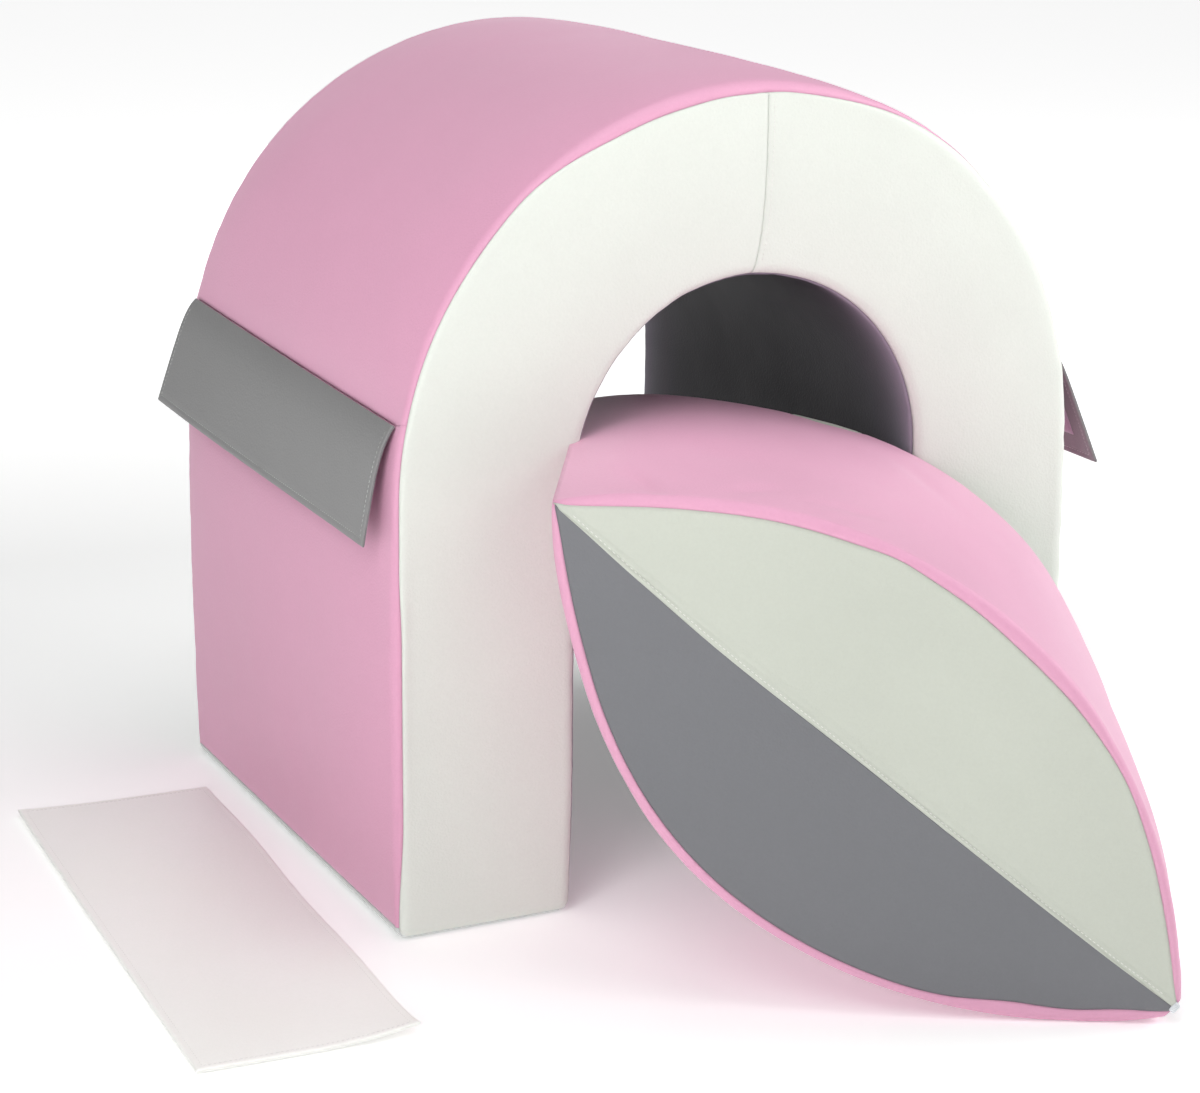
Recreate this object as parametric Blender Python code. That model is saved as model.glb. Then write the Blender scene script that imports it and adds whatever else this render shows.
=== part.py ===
"""Foam play tunnel set: arched tunnel block with two joining flaps, a lens-shaped
rocker leaning in its opening, and a loose joining strip on the floor beside it.

Metres, +Z up, +X to the viewer's right, the opening seen from -Y. The origin is on
the floor, in the middle of the left leg's base. Every cover is a stitched skin of
padded faux leather round a foam core, so each panel is a thin solid of its own.
"""

import math

import bpy
import bmesh
from mathutils import Matrix, Vector

# Tunnel block
TUNNEL_WIDTH = 0.600
TUNNEL_DEPTH = 0.480
TUNNEL_HEIGHT = 0.650
LEG_WIDTH = 0.150
TUNNEL_EDGE_RADIUS = 0.010
ARC_STEP_DEG = 4.0
STEP_MARGIN = 1 / 3
EDGE_SEGMENTS = 3

# Covers
SKIN = 0.0015
GAP = 0.0003

# Joining flaps, sewn into the seam between side panel and crown wrap
FLAP_SEAM_STEPS = 3
FLAP_LENGTH = 0.450
FLAP_DROP = 0.098
FLAP_LAYER = 0.0010
FLAP_ROOT_CLEARANCE = 0.0004
FLAP_SEGMENTS = 10
FLAP_FINE_STEPS = 80
FLAP_CURVE_LENGTH = 0.018
LEFT_FLAP_ROOT_DEG = 58.0
LEFT_FLAP_TIP_DEG = 11.0
RIGHT_FLAP_ROOT_DEG = 32.0
RIGHT_FLAP_TIP_DEG = 22.0
HOOK_PANEL_THICKNESS = 0.0008
HOOK_END_MARGIN = 0.020
HOOK_HEM_MARGIN = 0.012
HOOK_ROOT_MARGIN = 0.020

# Rocker
ROCKER_HALF_CHORD = 0.2945
ROCKER_SAGITTA = 0.1445
ROCKER_WIDTH = 0.326
ROCKER_EDGE_RADIUS = 0.007
ROCKER_SEAM_INSET = 0.008
ROCKER_TIP_CUT = 0.006
ROCKER_TILT_DEG = 38.9
ROCKER_YAW_DEG = -29.8
ROCKER_REST_GAP = 0.0005

# Zips: base slots in both legs, and one along the rocker's lower tip
ZIP_SLOT = 0.010
ZIP_HEM_WIDTH = 0.008
ZIP_HEM_THICKNESS = 0.0033
ZIP_TAPE_THICKNESS = 0.0007
ZIP_CHAIN_GAP = 0.0011
ZIP_CHAIN_WIDTH = 0.0022
ZIP_CHAIN_RISE = 0.00065
BASE_TAPE_REACH = 0.0125
BASE_ZIP_INWARD = 0.030
BASE_ZIP_END_MARGIN = 0.008
TIP_TAPE_REACH = 0.0070
TIP_TAPE_DEPTH = 0.0020
TIP_ZIP_END_MARGIN = 0.012
SLIDER_LENGTH = 0.011
SLIDER_WIDTH = 0.0086
SLIDER_PLATE = 0.0008
SLIDER_POST = 0.0005
SLIDER_END_GAP = 0.004
ZIP_POCKET_WIDTH = 0.0120
ZIP_POCKET_CLEARANCE = 0.0006

# Loose joining strip
STRIP_LENGTH = 0.541
STRIP_WIDTH = 0.168
STRIP_LAYER = 0.0012
STRIP_FROM_TUNNEL = 0.038
STRIP_FORWARD = 0.127
STRIP_YAW_DEG = -2.6
STRIP_WAVE = 0.0035
STRIP_CORNER_LIFT = 0.0080
STRIP_CELLS_LONG = 20
STRIP_CELLS_WIDE = 7
LOOP_PANEL_THICKNESS = 0.0008
LOOP_PANEL_WIDTH = 0.060
LOOP_PANEL_END_MARGIN = 0.030
LOOP_PANEL_EDGE_MARGIN = 0.012

# Colours, linear
PINK = (0.72, 0.37, 0.52)
WHITE = (0.84, 0.85, 0.80)
GREY = (0.27, 0.28, 0.28)
DARK_GREY = (0.09, 0.09, 0.095)
LIGHT_GREY = (0.60, 0.63, 0.61)
CREAM = (0.80, 0.79, 0.74)
FOAM = (0.83, 0.80, 0.68)
TAPE = (0.78, 0.80, 0.80)
METAL = (0.62, 0.62, 0.64)

# Values worked out from the sizes above
HALF_WIDTH = TUNNEL_WIDTH / 2
HALF_DEPTH = TUNNEL_DEPTH / 2
OPENING_RADIUS = HALF_WIDTH - LEG_WIDTH
ARCH_CENTRE_Z = TUNNEL_HEIGHT - HALF_WIDTH
LEG_CENTRE_X = HALF_WIDTH - LEG_WIDTH / 2
BASE_ZIP_X = LEG_CENTRE_X - BASE_ZIP_INWARD
PANEL_LINE_Y = HALF_DEPTH - TUNNEL_EDGE_RADIUS
CORE_INSET = SKIN + GAP
FLAP_SEAM_DEG = FLAP_SEAM_STEPS * ARC_STEP_DEG
ROCKER_RADIUS = (ROCKER_HALF_CHORD ** 2 + ROCKER_SAGITTA ** 2) / (2 * ROCKER_SAGITTA)
ROCKER_CENTRE_DROP = ROCKER_RADIUS - ROCKER_SAGITTA
ROCKER_TIP_U = ROCKER_HALF_CHORD - ROCKER_TIP_CUT
ROCKER_HALF_WIDTH = ROCKER_WIDTH / 2
ZIP_DEPTH = ZIP_HEM_THICKNESS + GAP
SLIDER_TOP = ZIP_CHAIN_RISE + GAP + SLIDER_PLATE
SLIDER_BOTTOM = -ZIP_TAPE_THICKNESS - ZIP_CHAIN_RISE - GAP - SLIDER_PLATE


def clear_scene():
    """Remove every object that the file opened with."""
    for obj in list(bpy.data.objects):
        bpy.data.objects.remove(obj, do_unlink=True)


def make_material(name, colour, roughness, metallic=0.0):
    """One Principled material for one sub-part."""
    material = bpy.data.materials.new(name)
    material.use_nodes = True
    shader = material.node_tree.nodes["Principled BSDF"]
    shader.inputs["Base Color"].default_value = (*colour, 1.0)
    shader.inputs["Roughness"].default_value = roughness
    shader.inputs["Metallic"].default_value = metallic
    material.diffuse_color = (*colour, 1.0)
    return material


def make_frame(name, location, rotation=(0.0, 0.0, 0.0), parent=None):
    """An empty that carries the pieces of one body."""
    frame = bpy.data.objects.new(name, None)
    frame.location = location
    frame.rotation_euler = rotation
    frame.parent = parent
    bpy.context.collection.objects.link(frame)
    return frame


def make_piece(name, bm, parent, colour, roughness=0.55, metallic=0.0):
    """Turn a bmesh into a named object with its own material."""
    bmesh.ops.remove_doubles(bm, verts=bm.verts[:], dist=1e-7)
    bmesh.ops.recalc_face_normals(bm, faces=bm.faces[:])
    mesh = bpy.data.meshes.new(name)
    bm.to_mesh(mesh)
    bm.free()
    mesh.materials.append(make_material(name, colour, roughness, metallic))
    mesh.shade_smooth()
    mesh.set_sharp_from_angle(angle=math.radians(35.0))
    piece = bpy.data.objects.new(name, mesh)
    piece.parent = parent
    bpy.context.collection.objects.link(piece)
    return piece


def make_guide(name, bm, parent):
    """A shape that only cuts or bounds other pieces."""
    guide = make_piece(name, bm, parent, FOAM)
    guide.hide_render = True
    guide.display_type = "WIRE"
    return guide


def add_boolean(piece, operation, guide):
    """Cut or bound a piece with a guide, exactly."""
    modifier = piece.modifiers.new(f"{operation.lower()} {guide.name}", "BOOLEAN")
    modifier.operation = operation
    modifier.solver = "EXACT"
    modifier.object = guide


def extrude_outline(points, low, high):
    """A solid from a closed outline in X and Z, carried along Y from low to high."""
    bm = bmesh.new()
    face = bm.faces.new([bm.verts.new((x, low, z)) for x, z in points])
    grown = bmesh.ops.extrude_face_region(bm, geom=[face])
    moved = [item for item in grown["geom"] if isinstance(item, bmesh.types.BMVert)]
    bmesh.ops.translate(bm, verts=moved, vec=(0.0, high - low, 0.0))
    bmesh.ops.recalc_face_normals(bm, faces=bm.faces[:])
    return bm


def make_box(low, high):
    """A box between two corners."""
    bm = bmesh.new()
    size = [b - a for a, b in zip(low, high)]
    centre = [(a + b) / 2 for a, b in zip(low, high)]
    placing = Matrix.Translation(centre) @ Matrix.Diagonal((*size, 1.0))
    bmesh.ops.create_cube(bm, size=1.0, matrix=placing)
    return bm


def round_edges(bm, edges, radius):
    """Round the given edges with the shared number of segments."""
    bmesh.ops.bevel(bm, geom=edges, offset=radius, offset_type="OFFSET", affect="EDGES",
                    segments=EDGE_SEGMENTS, profile=0.5, clamp_overlap=True, material=-1)


def stepped_angles(start, end):
    """Angles in degrees from start to end, on whole steps in between but none close to an end."""
    first = math.floor(start / ARC_STEP_DEG + STEP_MARGIN) + 1
    last = math.ceil(end / ARC_STEP_DEG - STEP_MARGIN) - 1
    return [start] + [k * ARC_STEP_DEG for k in range(first, last + 1)] + [end]


def arch_arc(radius, start, end):
    """Points of an arc round the arch's centre, as X and Z."""
    angles = stepped_angles(min(start, end), max(start, end))
    if start > end:
        angles.reverse()
    return [(radius * math.cos(math.radians(a)), ARCH_CENTRE_Z + radius * math.sin(math.radians(a)))
            for a in angles]


def fillet_arc(centre_x, centre_z, radius, start, end):
    """Points of a quarter round in X and Z."""
    angles = [start + (end - start) * k / EDGE_SEGMENTS for k in range(EDGE_SEGMENTS + 1)]
    return [(centre_x + radius * math.cos(math.radians(a)), centre_z + radius * math.sin(math.radians(a)))
            for a in angles]


# Tunnel block

def tunnel_block(inset):
    """The arched block with rounded edges, moved in from the outside by inset."""
    outer = HALF_WIDTH - inset
    inner = OPENING_RADIUS + inset
    outline = [(-outer, inset)] + arch_arc(outer, 180.0, 0.0) + [(outer, inset), (inner, inset)]
    outline += arch_arc(inner, 0.0, 180.0) + [(-inner, inset)]
    bm = extrude_outline(outline, inset - HALF_DEPTH, HALF_DEPTH - inset)
    corners = [edge for edge in bm.edges if edge.calc_face_angle() > math.radians(60.0)]
    round_edges(bm, corners, TUNNEL_EDGE_RADIUS - inset)
    return bm


def make_tunnel_core(parent):
    """The foam block, with a shallow pocket under each leg for the base zip."""
    core = make_piece("tunnel_foam_core", tunnel_block(CORE_INSET), parent, FOAM, 0.9)
    tape_top = ZIP_DEPTH + ZIP_TAPE_THICKNESS + GAP
    slider_top = ZIP_DEPTH - SLIDER_BOTTOM + ZIP_POCKET_CLEARANCE
    hem_reach = ZIP_SLOT / 2 + ZIP_HEM_WIDTH + GAP
    for side, label in ((-1, "left"), (1, "right")):
        x = side * BASE_ZIP_X
        for part, reach, top in (("hem", hem_reach, tape_top),
                                 ("slider", ZIP_POCKET_WIDTH / 2, slider_top)):
            pocket = make_box((x - reach, -PANEL_LINE_Y, -SKIN), (x + reach, PANEL_LINE_Y, top))
            guide = make_guide(f"guide_{label}_{part}_pocket", pocket, parent)
            add_boolean(core, "DIFFERENCE", guide)


def make_end_panels(parent):
    """White front and back panels, each in two halves that meet at the top seam."""
    outside = make_guide("guide_block_outside", tunnel_block(0.0), parent)
    inside = make_guide("guide_block_inside", tunnel_block(SKIN), parent)
    for end, end_label in ((-1, "front"), (1, "back")):
        for side, side_label in ((-1, "left"), (1, "right")):
            xs = sorted((side * GAP / 2, side * TUNNEL_WIDTH))
            ys = sorted((end * PANEL_LINE_Y, end * TUNNEL_DEPTH))
            region = make_box((xs[0], ys[0], -SKIN), (xs[1], ys[1], TUNNEL_HEIGHT + SKIN))
            panel = make_piece(f"{end_label}_panel_{side_label}", region, parent, WHITE, 0.5)
            add_boolean(panel, "INTERSECT", outside)
            add_boolean(panel, "DIFFERENCE", inside)


def make_wraps(parent):
    """Pink crown wrap and side panels, and the grey lining of the opening."""
    outer = HALF_WIDTH
    inner = HALF_WIDTH - SKIN
    reach = PANEL_LINE_Y - GAP
    foot = TUNNEL_EDGE_RADIUS + GAP
    half_gap_deg = math.degrees(GAP / 2 / inner)
    start = FLAP_SEAM_DEG + half_gap_deg
    crown = arch_arc(outer, start, 180.0 - start) + arch_arc(inner, 180.0 - start, start)
    make_piece("crown_wrap", extrude_outline(crown, -reach, reach), parent, PINK)

    stop = FLAP_SEAM_DEG - half_gap_deg
    side_wall = [(outer, foot)] + arch_arc(outer, 0.0, stop) + arch_arc(inner, stop, 0.0) + [(inner, foot)]
    for side, label in ((-1, "left"), (1, "right")):
        outline = [(side * x, z) for x, z in side_wall]
        make_piece(f"{label}_side_panel", extrude_outline(outline, -reach, reach), parent, PINK)

    near = OPENING_RADIUS
    far = OPENING_RADIUS + SKIN
    lining = [(near, foot)] + arch_arc(near, 0.0, 180.0) + [(-near, foot), (-far, foot)]
    lining += arch_arc(far, 180.0, 0.0) + [(far, foot)]
    make_piece("opening_lining", extrude_outline(lining, -reach, reach), parent, DARK_GREY, 0.6)


def base_panel_outline(slot):
    """One part of a leg's base: quarter round, flat sole and the folded hem at the zip slot.

    X runs from the leg's middle towards the quarter round, and the slot's edge is at slot.
    """
    radius = TUNNEL_EDGE_RADIUS
    centre_x = LEG_WIDTH / 2 - radius
    outline = fillet_arc(centre_x, radius, radius, 0.0, -90.0)
    outline += [(slot, 0.0), (slot, ZIP_HEM_THICKNESS), (slot + ZIP_HEM_WIDTH, ZIP_HEM_THICKNESS)]
    outline += [(slot + ZIP_HEM_WIDTH, SKIN)]
    outline += fillet_arc(centre_x, radius, radius - SKIN, -90.0, 0.0)
    return outline


def make_bases(parent):
    """Light grey sole of each leg, in an outer and an inner part with a zip between."""
    reach = PANEL_LINE_Y - GAP
    for side, label in ((-1, "left"), (1, "right")):
        for facing, part, slot in ((side, "outer", ZIP_SLOT / 2 - BASE_ZIP_INWARD),
                                   (-side, "inner", ZIP_SLOT / 2 + BASE_ZIP_INWARD)):
            outline = [(side * LEG_CENTRE_X + facing * x, z) for x, z in base_panel_outline(slot)]
            sole = extrude_outline(outline, -reach, reach)
            make_piece(f"{label}_base_panel_{part}", sole, parent, LIGHT_GREY, 0.6)
        frame = make_frame(f"{label}_base_zip", (side * BASE_ZIP_X, 0.0, ZIP_DEPTH),
                           (0.0, math.pi, 0.0), parent)
        make_zip(f"{label}_base_zip", frame, reach - BASE_ZIP_END_MARGIN, BASE_TAPE_REACH,
                 ("inner", "outer") if side < 0 else ("outer", "inner"))


# Zips

def make_zip(name, frame, half_length, tape_reach, halves):
    """Two tapes with their chains, and a slider without a tab, for small hands' safety.

    The zip runs along the frame's Y, faces its +Z, and has its tapes' faces at Z = 0.
    halves names the tape on the frame's +X side first, then the one on the -X side.
    """
    near = ZIP_CHAIN_GAP / 2
    far = near + ZIP_CHAIN_WIDTH
    back = -ZIP_TAPE_THICKNESS
    section = [(near, back - ZIP_CHAIN_RISE), (far, back - ZIP_CHAIN_RISE), (far, back)]
    section += [(tape_reach, back), (tape_reach, 0.0), (far, 0.0)]
    section += [(far, ZIP_CHAIN_RISE), (near, ZIP_CHAIN_RISE)]
    for side, label in zip((1, -1), halves):
        chain = extrude_outline([(side * x, z) for x, z in section], -half_length, half_length)
        make_piece(f"{name}_chain_{label}", chain, frame, TAPE, 0.7)

    rest_y = half_length - SLIDER_LENGTH / 2 - SLIDER_END_GAP
    seat = make_frame(f"{name}_slider_seat", (0.0, rest_y, 0.0), parent=frame)
    plate = SLIDER_WIDTH / 2
    post = SLIDER_POST / 2
    profile = [(-plate, SLIDER_TOP), (-plate, SLIDER_TOP - SLIDER_PLATE), (-post, SLIDER_TOP - SLIDER_PLATE)]
    profile += [(-post, SLIDER_BOTTOM + SLIDER_PLATE), (-plate, SLIDER_BOTTOM + SLIDER_PLATE)]
    profile += [(-plate, SLIDER_BOTTOM)]
    profile += [(-x, z) for x, z in reversed(profile)]
    slider = extrude_outline(profile, -SLIDER_LENGTH / 2, SLIDER_LENGTH / 2)
    make_piece(f"{name}_slider", slider, seat, METAL, 0.35, 1.0)


# Joining flaps

def flap_curve(root_deg, tip_deg, start, end):
    """Points and lean angles of the flap's middle line between two lengths from its root.

    The lean from upright falls from root_deg to tip_deg over about FLAP_CURVE_LENGTH.
    """
    step = FLAP_DROP / FLAP_FINE_STEPS
    curve = []
    for k in range(FLAP_SEGMENTS + 1):
        length = start + (end - start) * k / FLAP_SEGMENTS
        count = round(length / step)
        leans = [flap_lean(root_deg, tip_deg, length * (n + 0.5) / count) for n in range(count)]
        out = sum(math.sin(lean) * length / count for lean in leans)
        down = sum(math.cos(lean) * length / count for lean in leans)
        curve.append((out, -down, flap_lean(root_deg, tip_deg, length)))
    return curve


def flap_lean(root_deg, tip_deg, length):
    """Lean of the flap from upright at a length from its root, in radians."""
    fall = math.exp(-length / FLAP_CURVE_LENGTH)
    return math.radians(tip_deg + (root_deg - tip_deg) * fall)


def flap_layer(curve, side, low, high, reach):
    """A sheet along the flap's curve, between two offsets from its middle line."""
    faces = []
    for offset in (low, high):
        faces.append([(side * (x + offset * math.cos(lean)), z + offset * math.sin(lean))
                      for x, z, lean in curve])
    return extrude_outline(faces[0] + faces[1][::-1], -reach, reach)


def make_flap(parent, side, label, root_deg, tip_deg):
    """Two sewn layers and the hook panel on the inside, hung on the seam's hinge line."""
    seam = math.radians(FLAP_SEAM_DEG)
    axis_radius = HALF_WIDTH + FLAP_LAYER + GAP / 2 + FLAP_ROOT_CLEARANCE
    axis = (side * axis_radius * math.cos(seam), 0.0, ARCH_CENTRE_Z + axis_radius * math.sin(seam))
    hinge = make_frame(f"{label}_flap_hinge", axis, parent=parent)
    reach = FLAP_LENGTH / 2
    whole = flap_curve(root_deg, tip_deg, 0.0, FLAP_DROP)
    outer = flap_layer(whole, side, GAP / 2, GAP / 2 + FLAP_LAYER, reach)
    inner = flap_layer(whole, side, -GAP / 2 - FLAP_LAYER, -GAP / 2, reach)
    make_piece(f"{label}_flap_outer_layer", outer, hinge, GREY)
    make_piece(f"{label}_flap_inner_layer", inner, hinge, GREY)
    patch = flap_curve(root_deg, tip_deg, HOOK_ROOT_MARGIN, FLAP_DROP - HOOK_HEM_MARGIN)
    face = -GAP / 2 - FLAP_LAYER - GAP
    hooks = flap_layer(patch, side, face - HOOK_PANEL_THICKNESS, face, reach - HOOK_END_MARGIN)
    make_piece(f"{label}_flap_hook_panel", hooks, hinge, LIGHT_GREY, 0.9)


# Rocker, in its own frame: X along the chord, Y across its width, Z through both arcs

def lens_end_deg(inset, level=0.0):
    """Angle from the arc's middle to where it comes down to a level above the chord."""
    return math.degrees(math.acos((ROCKER_CENTRE_DROP + level) / (ROCKER_RADIUS - inset)))


def lens_arc(inset, level=0.0):
    """Points of the upper arc from the upper tip to the lower one, as X and Z."""
    radius = ROCKER_RADIUS - inset
    end = lens_end_deg(inset, level)
    return [(radius * math.sin(math.radians(a)), radius * math.cos(math.radians(a)) - ROCKER_CENTRE_DROP)
            for a in stepped_angles(-end, end)]


def outline_rim(bm, face_y):
    """Edges that lie in the two end faces at Y = -face_y and Y = face_y."""
    rim = []
    for edge in bm.edges:
        ys = [abs(vert.co.y) for vert in edge.verts]
        same_side = edge.verts[0].co.y * edge.verts[1].co.y > 0
        if same_side and min(ys) > face_y - GAP / 2:
            rim.append(edge)
    return rim


def make_rocker_core(frame):
    """The foam lens, cut back at the lower tip for the zip."""
    reach = ROCKER_HALF_WIDTH - CORE_INSET
    upper = lens_arc(CORE_INSET)
    lower = [(x, -z) for x, z in reversed(upper[1:-1])]
    bm = extrude_outline(upper + lower, -reach, reach)
    round_edges(bm, outline_rim(bm, reach), ROCKER_EDGE_RADIUS - CORE_INSET)
    core = make_piece("rocker_foam_core", bm, frame, FOAM, 0.9)
    tape_face = ROCKER_TIP_U - TIP_TAPE_DEPTH
    length = ROCKER_HALF_WIDTH - TIP_ZIP_END_MARGIN + ZIP_POCKET_CLEARANCE
    for part, floor_u, half, long in (
            ("end", tape_face - ZIP_TAPE_THICKNESS - GAP, ROCKER_SAGITTA, ROCKER_WIDTH),
            ("pocket", tape_face + SLIDER_BOTTOM - ZIP_POCKET_CLEARANCE, ZIP_POCKET_WIDTH / 2, length)):
        cut = make_box((floor_u, -long, -half), (2 * ROCKER_HALF_CHORD, long, half))
        guide = make_guide(f"guide_tip_{part}", cut, frame)
        add_boolean(core, "DIFFERENCE", guide)


def band_section():
    """Closed section of a band as inset and Y: it folds round both edges onto the faces."""
    radius = ROCKER_EDGE_RADIUS
    half = ROCKER_HALF_WIDTH
    folds = []
    for thickness in (0.0, SKIN):
        front = [(ROCKER_SEAM_INSET, thickness - half)]
        for k in range(EDGE_SEGMENTS + 1):
            turn = math.radians(90.0 * k / EDGE_SEGMENTS)
            front.append((radius - (radius - thickness) * math.sin(turn),
                          radius - half - (radius - thickness) * math.cos(turn)))
        folds.append(front + [(inset, -y) for inset, y in reversed(front)])
    return folds[0] + folds[1][::-1]


def make_band(frame, side, name, tip_guide):
    """A pink band swept along one arc, mitred at the chord and open at the zip."""
    section = band_section()
    level = GAP / 2
    shallow_end = lens_end_deg(ROCKER_SEAM_INSET, level)
    inner_steps = stepped_angles(-shallow_end, shallow_end)[1:-1]
    rings = []
    bm = bmesh.new()
    for station in range(len(inner_steps) + 2):
        ring = []
        for inset, y in section:
            radius = ROCKER_RADIUS - inset
            end = lens_end_deg(inset, level)
            turn = math.radians(([-end] + inner_steps + [end])[station])
            ring.append(bm.verts.new((radius * math.sin(turn), y,
                                      side * (radius * math.cos(turn) - ROCKER_CENTRE_DROP))))
        rings.append(ring)
    for ring, following in zip(rings, rings[1:]):
        for k in range(len(section)):
            n = (k + 1) % len(section)
            bm.faces.new((ring[k], ring[n], following[n], following[k]))
    bm.faces.new(rings[0])
    bm.faces.new(rings[-1])
    band = make_piece(name, bm, frame, PINK)
    add_boolean(band, "DIFFERENCE", tip_guide)


def make_rocker_faces(frame):
    """White upper and grey lower half of both faces, meeting along the chord."""
    arc = lens_arc(ROCKER_SEAM_INSET + GAP, GAP / 2)
    for end, end_label in ((-1, "front"), (1, "back")):
        low, high = sorted((end * ROCKER_HALF_WIDTH, end * (ROCKER_HALF_WIDTH - SKIN)))
        for side, side_label, colour in ((1, "upper", WHITE), (-1, "lower", GREY)):
            face = extrude_outline([(x, side * z) for x, z in arc], low, high)
            make_piece(f"rocker_{end_label}_face_{side_label}", face, frame, colour)


def rocker_place():
    """Where the rocker's centre lies when it leans against both front corners of the legs.

    A rounded corner stands back from its sharp one by corner_relief. The upper tip lies
    tip_rise above the arch's centre, where the opening has begun to close.
    """
    yaw = math.radians(ROCKER_YAW_DEG)
    tilt = math.radians(ROCKER_TILT_DEG)
    along = Vector((math.cos(yaw), math.sin(yaw)))
    inward = Vector((-math.sin(yaw), math.cos(yaw)))
    corner_relief = TUNNEL_EDGE_RADIUS * (abs(along.x) + abs(along.y) - 1.0)
    stand_off = ROCKER_REST_GAP - corner_relief
    height = max(x * math.sin(tilt) + z * math.cos(tilt) for x, z in lens_arc(0.0))
    tip_rise = max(0.0, height + ROCKER_HALF_CHORD * math.sin(tilt) - ARCH_CENTRE_Z)
    left_corner = Vector((-math.sqrt(OPENING_RADIUS ** 2 - tip_rise ** 2), -HALF_DEPTH))
    right_corner = Vector((OPENING_RADIUS, -HALF_DEPTH))
    across = left_corner.dot(along) + ROCKER_HALF_CHORD * math.cos(tilt) + stand_off
    depth = right_corner.dot(inward) - ROCKER_HALF_WIDTH - stand_off
    spot = along * across + inward * depth
    return (spot.x, spot.y, height), (0.0, tilt, yaw)


def make_rocker(parent):
    """The lens-shaped rocker, standing on its lower arc with its upper tip at the left leg."""
    location, rotation = rocker_place()
    frame = make_frame("rocker", location, rotation, parent)
    make_rocker_core(frame)
    tip = make_box((ROCKER_TIP_U, -ROCKER_WIDTH, -ROCKER_SAGITTA),
                   (2 * ROCKER_HALF_CHORD, ROCKER_WIDTH, ROCKER_SAGITTA))
    tip_guide = make_guide("guide_beyond_tip", tip, frame)
    make_band(frame, 1, "rocker_upper_band", tip_guide)
    make_band(frame, -1, "rocker_lower_band", tip_guide)
    make_rocker_faces(frame)
    zip_frame = make_frame("rocker_zip", (ROCKER_TIP_U - TIP_TAPE_DEPTH, 0.0, 0.0),
                           (0.0, math.pi / 2, 0.0), frame)
    make_zip("rocker_zip", zip_frame, ROCKER_HALF_WIDTH - TIP_ZIP_END_MARGIN, TIP_TAPE_REACH,
             ("lower", "upper"))


# Loose strip, in its own frame: Y along its length, Z up from the floor

def strip_lift(x, y):
    """Height of the strip's underside: its right edge waves, and two opposite corners lift.

    The front right corner lifts by the whole STRIP_CORNER_LIFT, the back left one by less.
    """
    along = y / (STRIP_LENGTH / 2)
    across = x / (STRIP_WIDTH / 2)
    wave = STRIP_WAVE * math.sin(math.pi * along) ** 2 * (1 + across) / 2
    corner = STRIP_CORNER_LIFT * along ** 4 * max(0.0, -along * across) ** 2
    return wave + corner * (0.65 - 0.35 * along)


def waved_sheet(centre_x, width, length, cells, low, high):
    """A sheet that follows the strip's wave, between two heights above its underside."""
    bm = bmesh.new()
    placing = Matrix.Translation((centre_x, 0.0, 0.0)) @ Matrix.Diagonal((width / 2, length / 2, 1.0, 1.0))
    bmesh.ops.create_grid(bm, x_segments=cells, y_segments=STRIP_CELLS_LONG, size=1.0, matrix=placing)
    for vert in bm.verts:
        vert.co.z = strip_lift(vert.co.x, vert.co.y) + low
    grown = bmesh.ops.extrude_face_region(bm, geom=bm.faces[:])
    moved = [item for item in grown["geom"] if isinstance(item, bmesh.types.BMVert)]
    bmesh.ops.translate(bm, verts=moved, vec=(0.0, 0.0, high - low))
    return bm


def make_strip(parent):
    """Two cream layers, with two loop panels underneath for the flaps' hooks."""
    location = (-HALF_WIDTH - STRIP_FROM_TUNNEL - STRIP_WIDTH / 2, -STRIP_FORWARD, 0.0)
    frame = make_frame("strip", location, (0.0, 0.0, math.radians(STRIP_YAW_DEG)), parent)
    level = 0.0
    shift = STRIP_WIDTH / 2 - LOOP_PANEL_EDGE_MARGIN - LOOP_PANEL_WIDTH / 2
    length = STRIP_LENGTH - 2 * LOOP_PANEL_END_MARGIN
    for side, label in ((-1, "left"), (1, "right")):
        loops = waved_sheet(side * shift, LOOP_PANEL_WIDTH, length, 2, level, level + LOOP_PANEL_THICKNESS)
        make_piece(f"strip_{label}_loop_panel", loops, frame, LIGHT_GREY, 0.9)
    level += LOOP_PANEL_THICKNESS + GAP
    for label in ("bottom", "top"):
        sheet = waved_sheet(0.0, STRIP_WIDTH, STRIP_LENGTH, STRIP_CELLS_WIDE, level, level + STRIP_LAYER)
        make_piece(f"strip_{label}_layer", sheet, frame, CREAM)
        level += STRIP_LAYER + GAP


def main():
    clear_scene()
    play_set = make_frame("play_set", (LEG_CENTRE_X, 0.0, 0.0))
    make_tunnel_core(play_set)
    make_end_panels(play_set)
    make_wraps(play_set)
    make_bases(play_set)
    make_flap(play_set, -1, "left", LEFT_FLAP_ROOT_DEG, LEFT_FLAP_TIP_DEG)
    make_flap(play_set, 1, "right", RIGHT_FLAP_ROOT_DEG, RIGHT_FLAP_TIP_DEG)
    make_rocker(play_set)
    make_strip(play_set)


main()
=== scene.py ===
"""Looks of the foam play tunnel set: padded faux-leather covers sewn round foam, two joining
flaps, a lens-shaped rocker leaning in the opening, and a loose joining strip on the floor.

Metres, +Z up. The block's own frame has its origin on the floor in the middle of the block,
and everything built there is shifted to the part's frame before it is finished.
"""

import math

import bmesh
import bpy
from mathutils import Euler, Matrix, Vector, noise


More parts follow.
